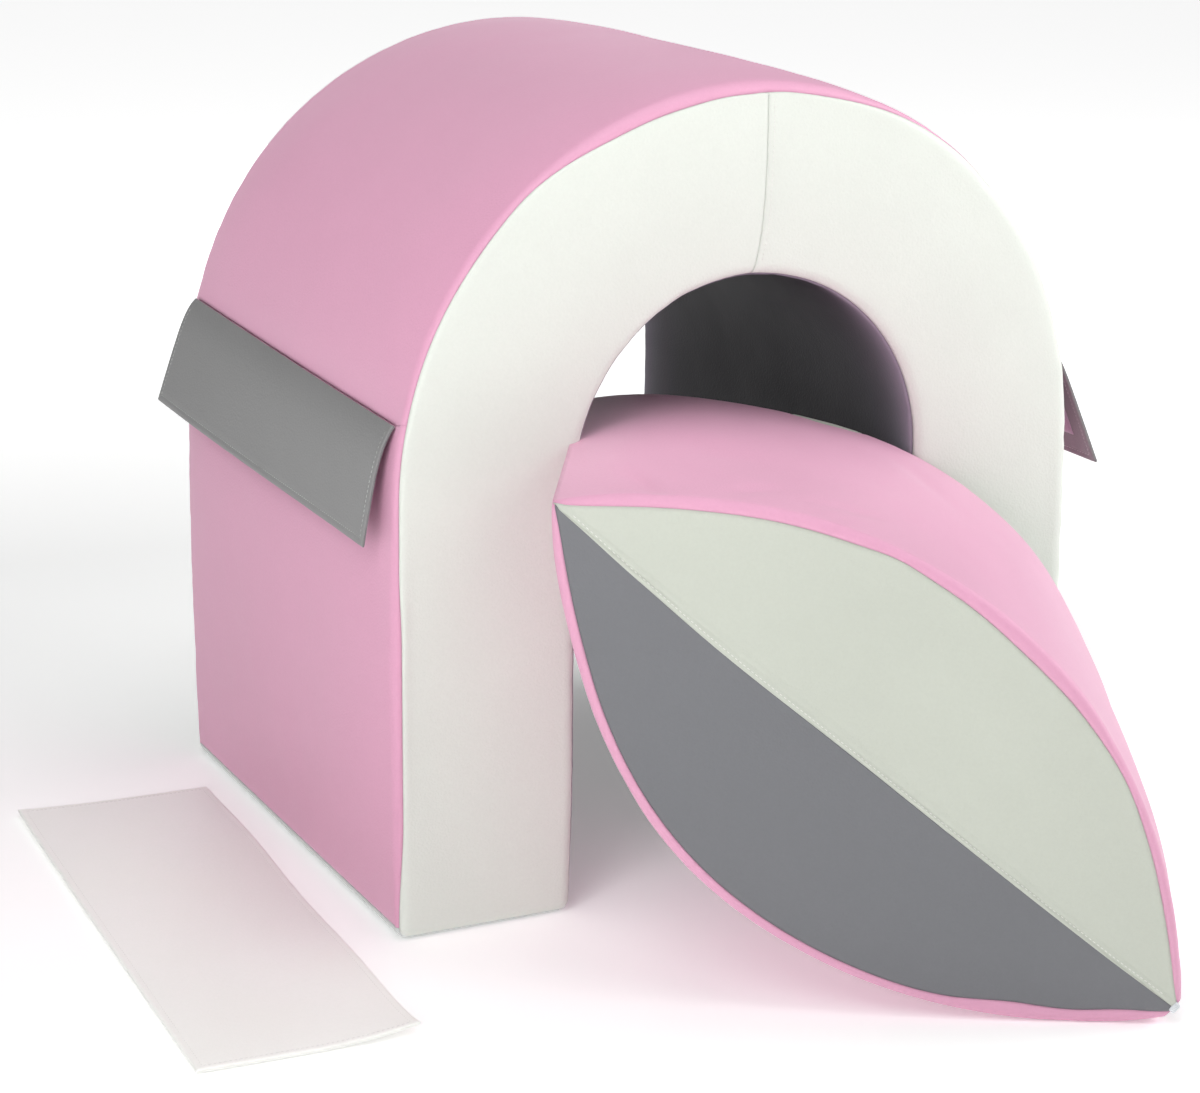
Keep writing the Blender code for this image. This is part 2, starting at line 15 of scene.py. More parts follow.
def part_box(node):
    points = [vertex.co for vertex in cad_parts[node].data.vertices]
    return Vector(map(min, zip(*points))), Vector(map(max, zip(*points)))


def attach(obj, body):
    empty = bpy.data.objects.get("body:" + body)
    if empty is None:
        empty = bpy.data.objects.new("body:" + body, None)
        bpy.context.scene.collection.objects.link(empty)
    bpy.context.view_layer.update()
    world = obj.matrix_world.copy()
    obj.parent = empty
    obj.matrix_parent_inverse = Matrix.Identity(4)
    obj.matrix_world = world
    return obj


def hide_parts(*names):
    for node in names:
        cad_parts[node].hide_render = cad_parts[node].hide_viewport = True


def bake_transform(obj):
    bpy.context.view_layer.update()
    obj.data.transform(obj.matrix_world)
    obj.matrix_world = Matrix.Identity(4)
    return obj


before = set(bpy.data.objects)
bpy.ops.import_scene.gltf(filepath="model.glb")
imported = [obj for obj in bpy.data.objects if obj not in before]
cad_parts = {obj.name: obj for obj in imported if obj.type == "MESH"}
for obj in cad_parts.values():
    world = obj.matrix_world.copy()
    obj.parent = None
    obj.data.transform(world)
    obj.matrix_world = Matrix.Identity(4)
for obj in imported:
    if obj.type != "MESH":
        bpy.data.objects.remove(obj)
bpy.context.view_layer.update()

# Tunnel block, from the frame
BLOCK_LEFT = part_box("left_side_panel")[0].x
BLOCK_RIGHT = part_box("right_side_panel")[1].x
MIDDLE_X = (BLOCK_LEFT + BLOCK_RIGHT) / 2
HALF_WIDTH = (BLOCK_RIGHT - BLOCK_LEFT) / 2
HALF_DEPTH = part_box("back_panel_left")[1].y
END_SEAM_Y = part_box("back_panel_left")[0].y
EDGE_RADIUS = HALF_DEPTH - END_SEAM_Y
OPENING_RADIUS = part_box("opening_lining")[1].x - MIDDLE_X
ARCH_CENTRE_Z = 0.350
FOOT_SEAM_Z = EDGE_RADIUS
FLAP_SEAM_DEG = 12.0
SLOT_FAR = MIDDLE_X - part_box("left_base_panel_outer")[1].x
SLOT_NEAR = MIDDLE_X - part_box("left_base_panel_inner")[0].x

# Cloth and sewing
COVER = 0.0012
HEM_TURN = 0.006
STITCH_PITCH = 0.0038
STITCH_LENGTH = 0.0028
STITCH_WIDTH = 0.0006
STITCH_HEIGHT = 0.0005
STITCH_SINK = 0.0003
STITCH_RISE = 0.0001

# Flaps, and the hook panel inside each
FLAP_LENGTH = 0.450
FLAP_HALF_THICKNESS = 0.0014
FLAP_AXIS_RADIUS = HALF_WIDTH + 0.00155
FLAP_CLOTH = 0.0009
HOOKS_HALF_LENGTH = 0.205
HOOKS_HALF_WIDTH = 0.033
HOOKS_DROP = 0.053
HOOK_CLOTH = 0.0008

# Rocker, whose own frame has X along the chord, Y across the width and Z through both arcs
ROCKER_CENTRE = Vector((0.26807, -0.36297, 0.19496))
ROCKER_TILT_DEG = 38.9
ROCKER_YAW_DEG = -29.8
ROCKER_HALF_CHORD = 0.2945
ROCKER_SAGITTA = 0.1445
ROCKER_HALF_WIDTH = 0.163
ROCKER_EDGE = 0.007
ROCKER_TIP_U = ROCKER_HALF_CHORD - 0.006
ROCKER_RADIUS = (ROCKER_HALF_CHORD ** 2 + ROCKER_SAGITTA ** 2) / (2 * ROCKER_SAGITTA)
ROCKER_DROP = ROCKER_RADIUS - ROCKER_SAGITTA
ROCKER_END_TURN = math.acos(ROCKER_DROP / ROCKER_RADIUS)

# Strip, and the loop panels under it
STRIP_CENTRE = Vector((-0.197, -0.127, 0.0))
STRIP_YAW_DEG = -2.6
STRIP_LENGTH = 0.541
STRIP_WIDTH = 0.168
STRIP_WAVE = 0.0035
STRIP_CORNER_LIFT = 0.0080
STRIP_MIDDLE_Z = 0.0026
STRIP_HALF_THICKNESS = 0.0015
LOOPS_HALF_WIDTH = 0.030
LOOPS_HALF_LENGTH = 0.2405
LOOPS_SIDE = 0.042
LOOP_CLOTH = 0.0007

# Each flap's lean at its root and its edge in degrees and how fast it falls, at both ends,
# how its seam rises from front to back (level, slope and bend), and how far it hangs down
LEFT_FLAP = {
    "side": -1, "front": (40.0, 9.0, 0.022), "back": (52.0, 19.0, 0.012),
    "rise": (0.0010, 0.0064, 0.0010), "drop": 0.0950,
}
RIGHT_FLAP = {
    "side": 1, "front": (34.0, 24.0, 0.018), "back": (34.0, 24.0, 0.018),
    "rise": (0.0, 0.0, 0.0), "drop": 0.1090,
}

TO_PART = Matrix.Translation((MIDDLE_X, 0.0, 0.0))
ROCKER_TURN = Euler((0.0, math.radians(ROCKER_TILT_DEG), math.radians(ROCKER_YAW_DEG)))
ROCKER_TO_PART = Matrix.Translation(ROCKER_CENTRE) @ ROCKER_TURN.to_matrix().to_4x4()
STRIP_TURN = Matrix.Rotation(math.radians(STRIP_YAW_DEG), 4, "Z")
STRIP_TO_PART = Matrix.Translation(STRIP_CENTRE) @ STRIP_TURN


def bell(distance, width):
    """A smooth bump, 1 at distance 0 and near 0 beyond twice the width."""
    return math.exp(-(distance / width) ** 2)


def ramp(value, start, end):
    """0 before start, 1 after end and smooth between."""
    share = min(1.0, max(0.0, (value - start) / (end - start)))
    return share * share * (3.0 - 2.0 * share)


def wander(point, size, seed=0.0):
    """Smooth noise from -1 to 1 whose lumps are about size across."""
    return noise.noise(Vector(point) / size + Vector((seed, seed * 0.7, -seed)))


def dent(place, depth, middle, width):
    """A dent, or a rise below 0, of a depth round a middle."""
    return depth * bell(place - middle, width)


def lumps(point, layers):
    """Uneven filling: noises added up, each given as its height, size and seed."""
    return sum(height * wander(point, size, seed) for height, size, seed in layers)


# Materials

def srgb(red, green, blue):
    """A colour given as a designer reads it, as the linear values that a shader takes."""
    shares = (value / 255 for value in (red, green, blue))
    return tuple(c / 12.92 if c < 0.04 else ((c + 0.055) / 1.055) ** 2.4 for c in shares) + (1.0,)


def start_material(name):
    """A new material, its node tree, its shader and its object coordinates."""
    material = bpy.data.materials.new(name)
    material.use_nodes = True
    tree = material.node_tree
    place = tree.nodes.new("ShaderNodeTexCoord").outputs["Object"]
    return material, tree, tree.nodes["Principled BSDF"], place


def feed(tree, node, **values):
    """Fill a node's inputs, named with _ for a space: a socket is linked and a value is set."""
    for name, value in values.items():
        socket = node.inputs[name.replace("_", " ")]
        if isinstance(value, bpy.types.NodeSocket):
            tree.links.new(value, socket)
        else:
            socket.default_value = value


def add_noise(tree, place, scale, detail=2.0, roughness=0.5):
    """A noise texture at a place."""
    node = tree.nodes.new("ShaderNodeTexNoise")
    feed(tree, node, Vector=place, Scale=scale, Detail=detail, Roughness=roughness)
    return node.outputs["Fac"]


def add_cells(tree, place, scale, feature="F1"):
    """A pattern of cells, as the distance to the nearest cell's middle."""
    node = tree.nodes.new("ShaderNodeTexVoronoi")
    node.feature = feature
    feed(tree, node, Vector=place, Scale=scale)
    return node.outputs["Distance"]


def add_ribs(tree, place, scale, distortion=0.0):
    """Slanting ribs."""
    node = tree.nodes.new("ShaderNodeTexWave")
    node.bands_direction = "DIAGONAL"
    feed(tree, node, Vector=place, Scale=scale, Distortion=distortion)
    return node.outputs["Fac"]


def add_attribute(tree, name):
    """The value of a layer that a piece's mesh carries."""
    node = tree.nodes.new("ShaderNodeAttribute")
    node.attribute_name = name
    return node.outputs["Fac"]


def add_range(tree, value, low, high, from_low=0.3, from_high=0.7):
    """Carry a value from one range to another."""
    node = tree.nodes.new("ShaderNodeMapRange")
    feed(tree, node, Value=value, From_Min=from_low, From_Max=from_high, To_Min=low, To_Max=high)
    return node.outputs["Result"]


def add_mix(tree, share, first, second):
    """Mix two colours, each a value or a socket, by a share."""
    node = tree.nodes.new("ShaderNodeMix")
    node.data_type = "RGBA"
    tree.links.new(share, node.inputs["Factor"])
    for value, socket in ((first, node.inputs[6]), (second, node.inputs[7])):
        if isinstance(value, tuple):
            socket.default_value = value
        else:
            tree.links.new(value, socket)
    return node.outputs[2]


def add_bump(tree, height, distance, strength, under=None):
    """A bump of a real depth, on top of another bump if one is given."""
    node = tree.nodes.new("ShaderNodeBump")
    feed(tree, node, Height=height, Distance=distance, Strength=strength)
    if under is not None:
        feed(tree, node, Normal=under)
    return node.outputs["Normal"]


def tinted(colour, factor):
    """A colour made lighter or darker."""
    return tuple(min(1.0, c * factor) for c in colour[:3]) + (1.0,)


PEBBLE_DEPTH = 0.00022
CREASE_DEPTH = 0.0006


def faux_leather(name, colour, roughness=0.46, shine=0.42, sheen=0.0, lit_rim_colour=None):
    """Coated cover cloth: pebbled grain, faint handling marks, darker in seams as dust and painted
    shade, and paler at a rim as painted light when a rim colour is given.
    """
    material, tree, shader, place = start_material(name)
    cloud = add_noise(tree, place, 7.0, 3.0)
    fleck = add_noise(tree, place, 420.0, 2.0)
    handled = add_range(tree, cloud, 0.0, 1.0)
    shown = add_mix(tree, handled, tinted(colour, 0.975), tinted(colour, 1.02))
    shown = add_mix(tree, add_range(tree, fleck, 0.0, 0.22), shown, tinted(colour, 0.9))
    # Painted light: a paler colour where the mesh's rim layer is high
    if lit_rim_colour:
        shown = add_mix(tree, add_attribute(tree, "rim"), shown, lit_rim_colour)
    # Seams darkened as dust and painted shade in their grooves, where the mesh's seam layer is high
    shown = add_mix(tree, add_attribute(tree, "seam"), shown, tinted(colour, 0.72))
    rough = add_range(tree, cloud, roughness - 0.04, roughness + 0.05)
    wrinkled = add_bump(tree, add_noise(tree, place, 55.0, 4.0, 0.6), CREASE_DEPTH, 0.35)
    pebbles = add_cells(tree, place, 620.0, "SMOOTH_F1")
    grain = add_bump(tree, pebbles, PEBBLE_DEPTH, 0.8, wrinkled)
    feed(tree, shader, Base_Color=shown, Roughness=rough, Normal=grain)
    feed(tree, shader, Specular_IOR_Level=shine, Sheen_Weight=sheen)
    return material


def patterned(name, colour, pattern, *scales, shade, depth, strength, roughness):
    """A matt material whose pattern shows as a darker ground and as relief."""
    material, tree, shader, place = start_material(name)
    height = pattern(tree, place, *scales)
    shown = add_mix(tree, height, tinted(colour, shade), colour)
    relief = add_bump(tree, height, depth, strength)
    feed(tree, shader, Base_Color=shown, Roughness=roughness, Normal=relief)
    return material


def sewing_thread(name, colour):
    """Twisted polyester thread."""
    return patterned(name, colour, add_ribs, 900.0, shade=0.85, depth=0.0001, strength=0.6,
                     roughness=0.55)


def napped(name, colour):
    """Hook or loop cloth: short dense pile."""
    material, tree, shader, place = start_material(name)
    pile = add_noise(tree, place, 900.0, 2.0, 0.7)
    shown = add_mix(tree, pile, tinted(colour, 0.7), tinted(colour, 1.15))
    tufts = add_bump(tree, add_cells(tree, place, 700.0), 0.0006, 0.9)
    relief = add_bump(tree, pile, 0.0004, 0.8, tufts)
    feed(tree, shader, Base_Color=shown, Roughness=0.9, Normal=relief, Sheen_Weight=0.3)
    return material


def brushed_metal(name, colour):
    """Cast slider metal with fine brushing and darker rubbed spots."""
    material, tree, shader, place = start_material(name)
    stretch = tree.nodes.new("ShaderNodeMapping")
    feed(tree, stretch, Vector=place, Scale=(1.0, 0.05, 1.0))
    lines = add_noise(tree, stretch.outputs["Vector"], 2500.0, 2.0)
    worn = add_noise(tree, place, 260.0, 3.0)
    shown = add_mix(tree, add_range(tree, worn, 0.0, 1.0), tinted(colour, 0.75), colour)
    rough = add_range(tree, lines, 0.22, 0.45)
    relief = add_bump(tree, lines, 0.00005, 0.5)
    feed(tree, shader, Base_Color=shown, Roughness=rough, Normal=relief, Metallic=1.0)
    return material


PINK_COVER = faux_leather("pink_cover", srgb(223, 162, 191), roughness=0.54, shine=0.46,
                          sheen=0.18)
WHITE_COVER = faux_leather("white_cover", srgb(224, 229, 221))
FACE_WHITE_COVER = faux_leather("rocker_white_cover", srgb(196, 200, 189))
GREY_COVER = faux_leather("grey_cover", srgb(135, 135, 135))
FACE_GREY_COVER = faux_leather("rocker_grey_cover", srgb(115, 116, 120))
# Grey lining cloth: its colour is darkened as painted shade inside the opening, and its rolled rim is
# painted paler and pinker as painted light
LINING_CLOTH_PAINTED_SHADE = faux_leather("grey_lining_painted_shade_lit_rim", srgb(58, 55, 61), shine=0.10,
                            lit_rim_colour=srgb(160, 152, 166))
SOLE_CLOTH = faux_leather("light_grey_sole", srgb(214, 218, 216), roughness=0.55)
CREAM_COVER = faux_leather("cream_cover", srgb(255, 255, 250))
FOAM = patterned("foam", srgb(236, 229, 205), add_cells, 450.0, shade=0.8, depth=0.0006,
                 strength=0.9, roughness=0.95)
ZIP_TAPE = patterned("white_zip_tape", srgb(232, 236, 240), add_ribs, 450.0, 1.5, shade=0.8,
                     depth=0.0002, strength=0.7, roughness=0.85)
ZIP_TEETH = sewing_thread("zip_teeth_nylon", srgb(216, 221, 228))
# Light grey hook cloth tinted pink as a painted reflection of the light that the pink wall throws on it
HOOKS_PAINTED_PINK_BOUNCE = napped("hook_cloth_painted_pink_bounce", srgb(196, 172, 190))
LOOPS = napped("loop_cloth", srgb(206, 207, 204))
PALE_THREAD = sewing_thread("pale_thread", srgb(214, 217, 216))
WHITE_THREAD = sewing_thread("white_thread", srgb(240, 240, 236))
SLIDER_METAL = brushed_metal("slider_metal", srgb(190, 190, 192))


# Finishing a piece, and forms that many pieces share

def add_object(name, data):
    """A new object in the scene."""
    thing = bpy.data.objects.new(name, data)
    bpy.context.collection.objects.link(thing)
    return thing


def add_mesh(name, bm, material):
    """A new object made of a bmesh, which is used up, and a material."""
    mesh = bpy.data.meshes.new(name)
    bm.to_mesh(mesh)
    bm.free()
    mesh.materials.append(material)
    return add_object(name, mesh)


def finish_piece(name, bm, material, body, replaced=(), place=TO_PART, wall=None,
                 bend=None):
    """Turn a bmesh into a piece with its place in its mesh, that rides on a body; when bend is given it
    is baked in place instead and not put on the body.
    """
    bmesh.ops.transform(bm, matrix=place, verts=bm.verts[:])
    for vert in bm.verts:
        vert.co.z = max(vert.co.z, 0.0)
    piece = add_mesh(name, bm, material)
    piece.data.shade_smooth()
    if wall:
        solidify = piece.modifiers.new("cloth thickness", "SOLIDIFY")
        solidify.thickness = wall
        solidify.offset = -1.0
    if bend:
        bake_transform(piece)
    else:
        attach(piece, body)
    if replaced:
        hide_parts(*replaced)
    return piece


def face_away(bm):
    """Turn the faces of a domed sheet so that they look away from the origin."""
    bm.normal_update()
    if sum(face.normal.dot(face.calc_center_median()) * face.calc_area() for face in bm.faces) < 0:
        bmesh.ops.reverse_faces(bm, faces=bm.faces[:])


def face_towards(bm, direction):
    """Turn the faces of a nearly flat sheet so that its middle looks in a direction."""
    bm.normal_update()
    bm.faces.ensure_lookup_table()
    if bm.faces[len(bm.faces) // 2].normal.dot(direction) < 0:
        bmesh.ops.reverse_faces(bm, faces=bm.faces[:])


def round_edges(bm, edges, radius, segments):
    """Round edges off."""
    bmesh.ops.bevel(bm, geom=edges, offset=radius, offset_type="OFFSET", affect="EDGES",
                    segments=segments, profile=0.5, clamp_overlap=True, material=-1)


def sized(place, size):
    """The matrix that gives a unit form its size and its place."""
    return Matrix.Translation(place) @ Matrix.Diagonal((*size, 1.0))


def add_bead(bm, matrix):
    """Add a small round form, such as a stitch or a zip's tooth."""
    bmesh.ops.create_uvsphere(bm, u_segments=6, v_segments=4, radius=1.0, matrix=matrix)


def cloth_grid(cells_long, cells_wide):
    """A flat cut of cloth from -1 to 1 along X and Y, to be laid on a form."""
    bm = bmesh.new()
    bmesh.ops.create_grid(bm, x_segments=cells_long, y_segments=cells_wide, size=1.0)
    return bm


def sew(name, rows, thread, body, place=TO_PART, bend=None):
    """Stitches along rows of (point, outward) pairs, one from each pair to the next."""
    bm = bmesh.new()
    for row in rows:
        for (start, outward), (end, _) in zip(row, row[1:]):
            along = (end - start).normalized()
            across = outward.cross(along).normalized()
            upward = along.cross(across)
            turn = Matrix((along, across, upward)).transposed().to_4x4()
            size = Matrix.Diagonal((STITCH_LENGTH / 2, STITCH_WIDTH / 2, STITCH_HEIGHT / 2, 1.0))
            add_bead(bm, Matrix.Translation((start + end) / 2) @ turn @ size)
    return finish_piece(name, bm, thread, body, place=place, bend=bend)


def spaced(start, end, pitch=STITCH_PITCH):
    """Evenly spaced values from start to end, about a pitch apart."""
    count = max(1, round(abs(end - start) / pitch))
    return [start + (end - start) * k / count for k in range(count + 1)]


def along_corners(corners):
    """Evenly spaced places from corner to corner, without the last corner."""
    places = []
    for start, end in zip(corners, corners[1:]):
        steps = spaced(0.0, math.dist(start, end))
        for step in steps[:-1]:
            places.append([a + (b - a) * step / steps[-1] for a, b in zip(start, end)])
    return places


# Tunnel block: one rounded skin is padded as a whole, then cut apart along its seams

LEG_ROWS = 50
ARCH_ROWS = 150
FIRST_ROW_Z = 0.0135
WALL_CUTS = 72
END_CUTS = 21
ROUNDING_SEGMENTS = 6
LONG_EDGE = 0.300
MIDDLE_EDGE = 0.060
SEAM_OFFSETS = (-0.0026, -0.0013, 0.0, 0.0013, 0.0026)
EDGE_SEAM_OFFSETS = (-0.0012, -0.0006, 0.0, 0.0006, 0.0012)


def carry_ring(bm, ring, rise):
    """Extrude a ring of edges straight up or down and return the new ring."""
    grown = bmesh.ops.extrude_edge_only(bm, edges=ring)["geom"]
    moved = {item for item in grown if isinstance(item, bmesh.types.BMVert)}
    bmesh.ops.translate(bm, verts=list(moved), vec=(0.0, 0.0, rise))
    return [item for item in grown if isinstance(item, bmesh.types.BMEdge) and set(item.verts) <= moved]


def arched_block(inset, leg_rows, arch_rows, segments):
    """The arched block with rounded edges, moved in from the outside by inset."""
    bm = bmesh.new()
    inner = OPENING_RADIUS + inset
    outer = HALF_WIDTH - inset
    reach = HALF_DEPTH - inset
    corners = ((inner, -reach), (outer, -reach), (outer, reach), (inner, reach))
    bm.faces.new([bm.verts.new((x, y, inset)) for x, y in corners])
    step = (ARCH_CENTRE_Z - FIRST_ROW_Z) / leg_rows
    ring = carry_ring(bm, bm.edges[:], FIRST_ROW_Z - inset)
    for _ in range(leg_rows):
        ring = carry_ring(bm, ring, step)
    around = ring + list({vert for edge in ring for vert in edge.verts})
    spun = bmesh.ops.spin(bm, geom=around, cent=(0.0, 0.0, ARCH_CENTRE_Z), axis=(0.0, -1.0, 0.0),
                          angle=math.pi, steps=arch_rows)
    ring = [item for item in spun["geom_last"] if isinstance(item, bmesh.types.BMEdge)]
    for _ in range(leg_rows):
        ring = carry_ring(bm, ring, -step)
    ring = carry_ring(bm, ring, inset - FIRST_ROW_Z)
    bmesh.ops.edgeloop_fill(bm, edges=ring)
    bmesh.ops.recalc_face_normals(bm, faces=bm.faces[:])
    sharp = [edge for edge in bm.edges if edge.calc_face_angle() > math.radians(60.0)]
    round_edges(bm, sharp, EDGE_RADIUS - inset, segments)
    return bm


def cut_rows(bm, point, normal, keep, offsets=SEAM_OFFSETS):
    """Cut rows of points beside a seam, and on it, in the faces that keep accepts."""
    for offset in offsets:
        faces = [face for face in bm.faces if keep(face.calc_center_median())]
        edges = list({edge for face in faces for edge in face.edges})
        verts = list({vert for face in faces for vert in face.verts})
        bmesh.ops.bisect_plane(bm, geom=verts + edges + faces, dist=1e-5,
                               plane_co=Vector(point) + Vector(normal) * offset, plane_no=normal)


def radial(co):
    """Distance from the arch's centre line, and the angle up from the nearer leg in radians."""
    rise = max(0.0, co.z - ARCH_CENTRE_Z)
    return math.hypot(co.x, rise), math.atan2(rise, abs(co.x))


FLAP_SEAM = math.radians(FLAP_SEAM_DEG)
FLAP_SEAM_Z = ARCH_CENTRE_Z + HALF_WIDTH * math.sin(FLAP_SEAM)
WALL_MIDDLE = (OPENING_RADIUS + HALF_WIDTH) / 2
ROUND_CENTRE = HALF_WIDTH - EDGE_RADIUS
MID_TURN = math.pi / 4
ROUND_IN_CENTRE = OPENING_RADIUS + EDGE_RADIUS
EDGE_SEAM_Y = END_SEAM_Y + EDGE_RADIUS * math.sin(MID_TURN)
RIM_TURN = math.radians(27.0)
TOP_SEAM_START = -0.0016
TOP_SEAM_DRIFT = 0.0106
TOP_SEAM_BEND = 0.033
TOP_SEAM_EASE = 0.025
TOP_SEAM_SINK = 0.0009
TOP_SEAM_WIDTH = 0.016
# How far round the edge the left side's outer seam runs at the foot, in degrees, its changes
# between two heights and between two angles up the arch, and its waves round an angle
FOOT_TURN = 28.0
LEG_TURNS = ((28.0, 0.0, 0.10), (-9.0, 0.24, 0.30))
ARCH_TURNS = ((34.0, 50.0, 68.0), (-8.0, 77.0, 86.0))
ARCH_WAVES = ((5.0, 38.0, 9.0), (-3.0, 48.5, 3.5))
# The same on the right side: at the foot and in the arch
RIGHT_FOOT_TURN = 18.0
RIGHT_ARCH_TURN = (52.0, 50.0, 80.0)


def top_seam_x(height):
    """The top seam drifts a little to the right on its way up, as it was sewn."""
    climb = max(0.0, height - ARCH_CENTRE_Z - OPENING_RADIUS)
    return TOP_SEAM_START + TOP_SEAM_DRIFT * (1.0 - math.exp(-climb / TOP_SEAM_BEND))


def turned_by(place, changes):
    """Changes of an angle added up, each given as its size and the two places it lies between."""
    return sum(change * ramp(place, start, end) for change, start, end in changes)


def seam_turn(co):
    """How far round the block's outer end edge the cover's seam runs, as an angle."""
    climb = math.degrees(radial(co)[1])
    if co.x < 0:
        turn = FOOT_TURN + turned_by(co.z, LEG_TURNS) + turned_by(climb, ARCH_TURNS)
        turn += sum(dent(climb, *wave) for wave in ARCH_WAVES)
    else:
        turn = RIGHT_FOOT_TURN + turned_by(climb, (RIGHT_ARCH_TURN,))
    return math.radians(turn)


def slide_seam(co):
    """Slide a point of an end so that each seam's rows come to lie where they are sewn."""
    if abs(co.y) > END_SEAM_Y and co.z > ARCH_CENTRE_Z:
        co = co + Vector((top_seam_x(co.z) * bell(co.x, TOP_SEAM_EASE), 0.0, 0.0))
    radius, angle = radial(co)
    if radius < WALL_MIDDLE:
        centre, way, target = ROUND_IN_CENTRE, -1.0, RIM_TURN
    else:
        centre, way, target = ROUND_CENTRE, 1.0, seam_turn(co)
    out = (radius - centre) * way
    deep = abs(co.y) - END_SEAM_Y
    if out <= 0.0 or deep <= 0.0:
        return co
    turn = math.atan2(deep, out)
    if turn < MID_TURN:
        turn *= target / MID_TURN
    else:
        squeeze = (math.pi / 2 - target) / (math.pi / 2 - MID_TURN)
        turn = math.pi / 2 - (math.pi / 2 - turn) * squeeze
    size = math.hypot(out, deep)
    radius = centre + way * size * math.cos(turn)
    y = math.copysign(END_SEAM_Y + size * math.sin(turn), co.y)
    z = co.z if angle == 0.0 else ARCH_CENTRE_Z + radius * math.sin(angle)
    return Vector((math.copysign(radius * math.cos(angle), co.x), y, z))


def panel_of(co):
    """Name of the cover panel that a point of the skin belongs to."""
    side = "left" if co.x < 0 else "right"
    if abs(co.y) > EDGE_SEAM_Y:
        return f"{'front' if co.y < 0 else 'back'}_cover_{side}"
    radius, angle = radial(co)
    if co.z < FOOT_SEAM_Z:
        if co.z < EDGE_RADIUS / 100 and SLOT_NEAR < abs(co.x) < SLOT_FAR:
            return "zip_slot"
        return f"{side}_sole_{'outer' if abs(co.x) > SLOT_NEAR else 'inner'}"
    if radius < WALL_MIDDLE:
        return "opening_lining_cloth"
    return "crown_cover" if angle > FLAP_SEAM else f"{side}_side_cover"


DOME_POWER = 2.6
WALL_BULGE = 0.0030
WALL_BOW = 0.0042
# How much of a side wall's padding gives way under its flap, the heights between which that
# starts, and the places between which it does from each end inwards, as distances below 0
FLAP_PRESS = 0.56
FLAP_PRESS_HEIGHTS = (0.304, 0.322)
FLAP_PRESS_ENDS = (-0.236, -0.222)
CROWN_BULGE = 0.0010
CROWN_BOW = 0.0018
TOP_BOW = 0.0009
SHOULDER_DROP = 0.0032
SHOULDER_RISE = 0.0026
SHOULDER_POWER = 6
END_BULGE = 0.0020
LINING_BULGE = 0.0008
LINING_BOW_LEFT = 0.0026
LINING_BOW_BACK = 0.0035
SEAM_DEPTH = 0.0009
SEAM_HALF_WIDTH = 0.0012
# Darkening painted along seams as dust and painted shade in their grooves: on most seams, on the ends'
# top seam, and its half width
SEAM_DUST_AND_SHADE = 0.32
TOP_SEAM_DUST_AND_SHADE = 0.55
DUST_AND_SHADE_HALF_WIDTH = 0.0010
# How far the painted light on the lining's rolled rim fades inwards, and how much further it reaches
# towards the sides
LIT_RIM_FADE = 0.004
LIT_RIM_SIDE_FADE = 0.020
COVER_LUMPS = ((0.0007, 0.11, 0.0), (0.00028, 0.038, 4.0))
PUCKERS = ((0.0008, 0.016, 2.0), (0.0004, 0.0072, 6.0))
PUCKER_REACH = 0.010
PUCKER_START = 0.003


def beside_seam(gap):
    """How strongly the cloth puckers at a distance from a seam."""
    return math.exp(-gap / PUCKER_REACH) * ramp(gap, 0.0, PUCKER_START)


def round_gap(out, deep, turn):
    """Distance to the seam that runs at a turn round a rounded edge, from both sides of it."""
    if deep <= 0.0:
        return EDGE_RADIUS * turn - deep
    if out <= 0.0:
        return EDGE_RADIUS * (math.pi / 2 - turn) - out
    return EDGE_RADIUS * abs(math.atan2(deep, out) - turn)


def seam_gap(co):
    """Distance to the nearest seam, and the place along it, for a point of the skin."""
    radius, angle = radial(co)
    along = co.z if angle == 0.0 else ARCH_CENTRE_Z + angle * radius
    along *= -1.0 if co.x < 0 else 1.0
    deep = abs(co.y) - END_SEAM_Y
    out = radius - ROUND_CENTRE
    into = ROUND_IN_CENTRE - radius
    turn = seam_turn(co)
    gaps = []
    if deep > 0.0 or radius > WALL_MIDDLE:
        gaps.append((round_gap(out, deep, turn), along))
    if deep > 0.0 or into > 0.0:
        gaps.append((round_gap(into, deep, RIM_TURN), along + 3.0))
    on_end = deep > EDGE_RADIUS * math.sin(turn if out > 0.0 else RIM_TURN) - 1e-4
    if on_end and co.z > ARCH_CENTRE_Z:
        gaps.append((abs(co.x - top_seam_x(co.z)), radius + 5.0))
    if deep <= 0.0:
        gaps.append((abs(co.z - FOOT_SEAM_Z), co.y + 7.0))
        if radius > WALL_MIDDLE:
            level = radius * abs(angle - FLAP_SEAM) if co.z > ARCH_CENTRE_Z else 1.0
            gaps.append((level, co.y + 9.0))
    return min(gaps)


def lining_lit_rim(co):
    """How strongly painted light pales the lining where it rolls round the opening's edge: 1 at the
    seam, 0 inside.
    """
    fade = LIT_RIM_FADE + LIT_RIM_SIDE_FADE * ramp(abs(co.x), 0.04, 0.14)
    return math.exp(-max(0.0, EDGE_RADIUS * RIM_TURN - abs(co.y) + END_SEAM_Y) / fade)


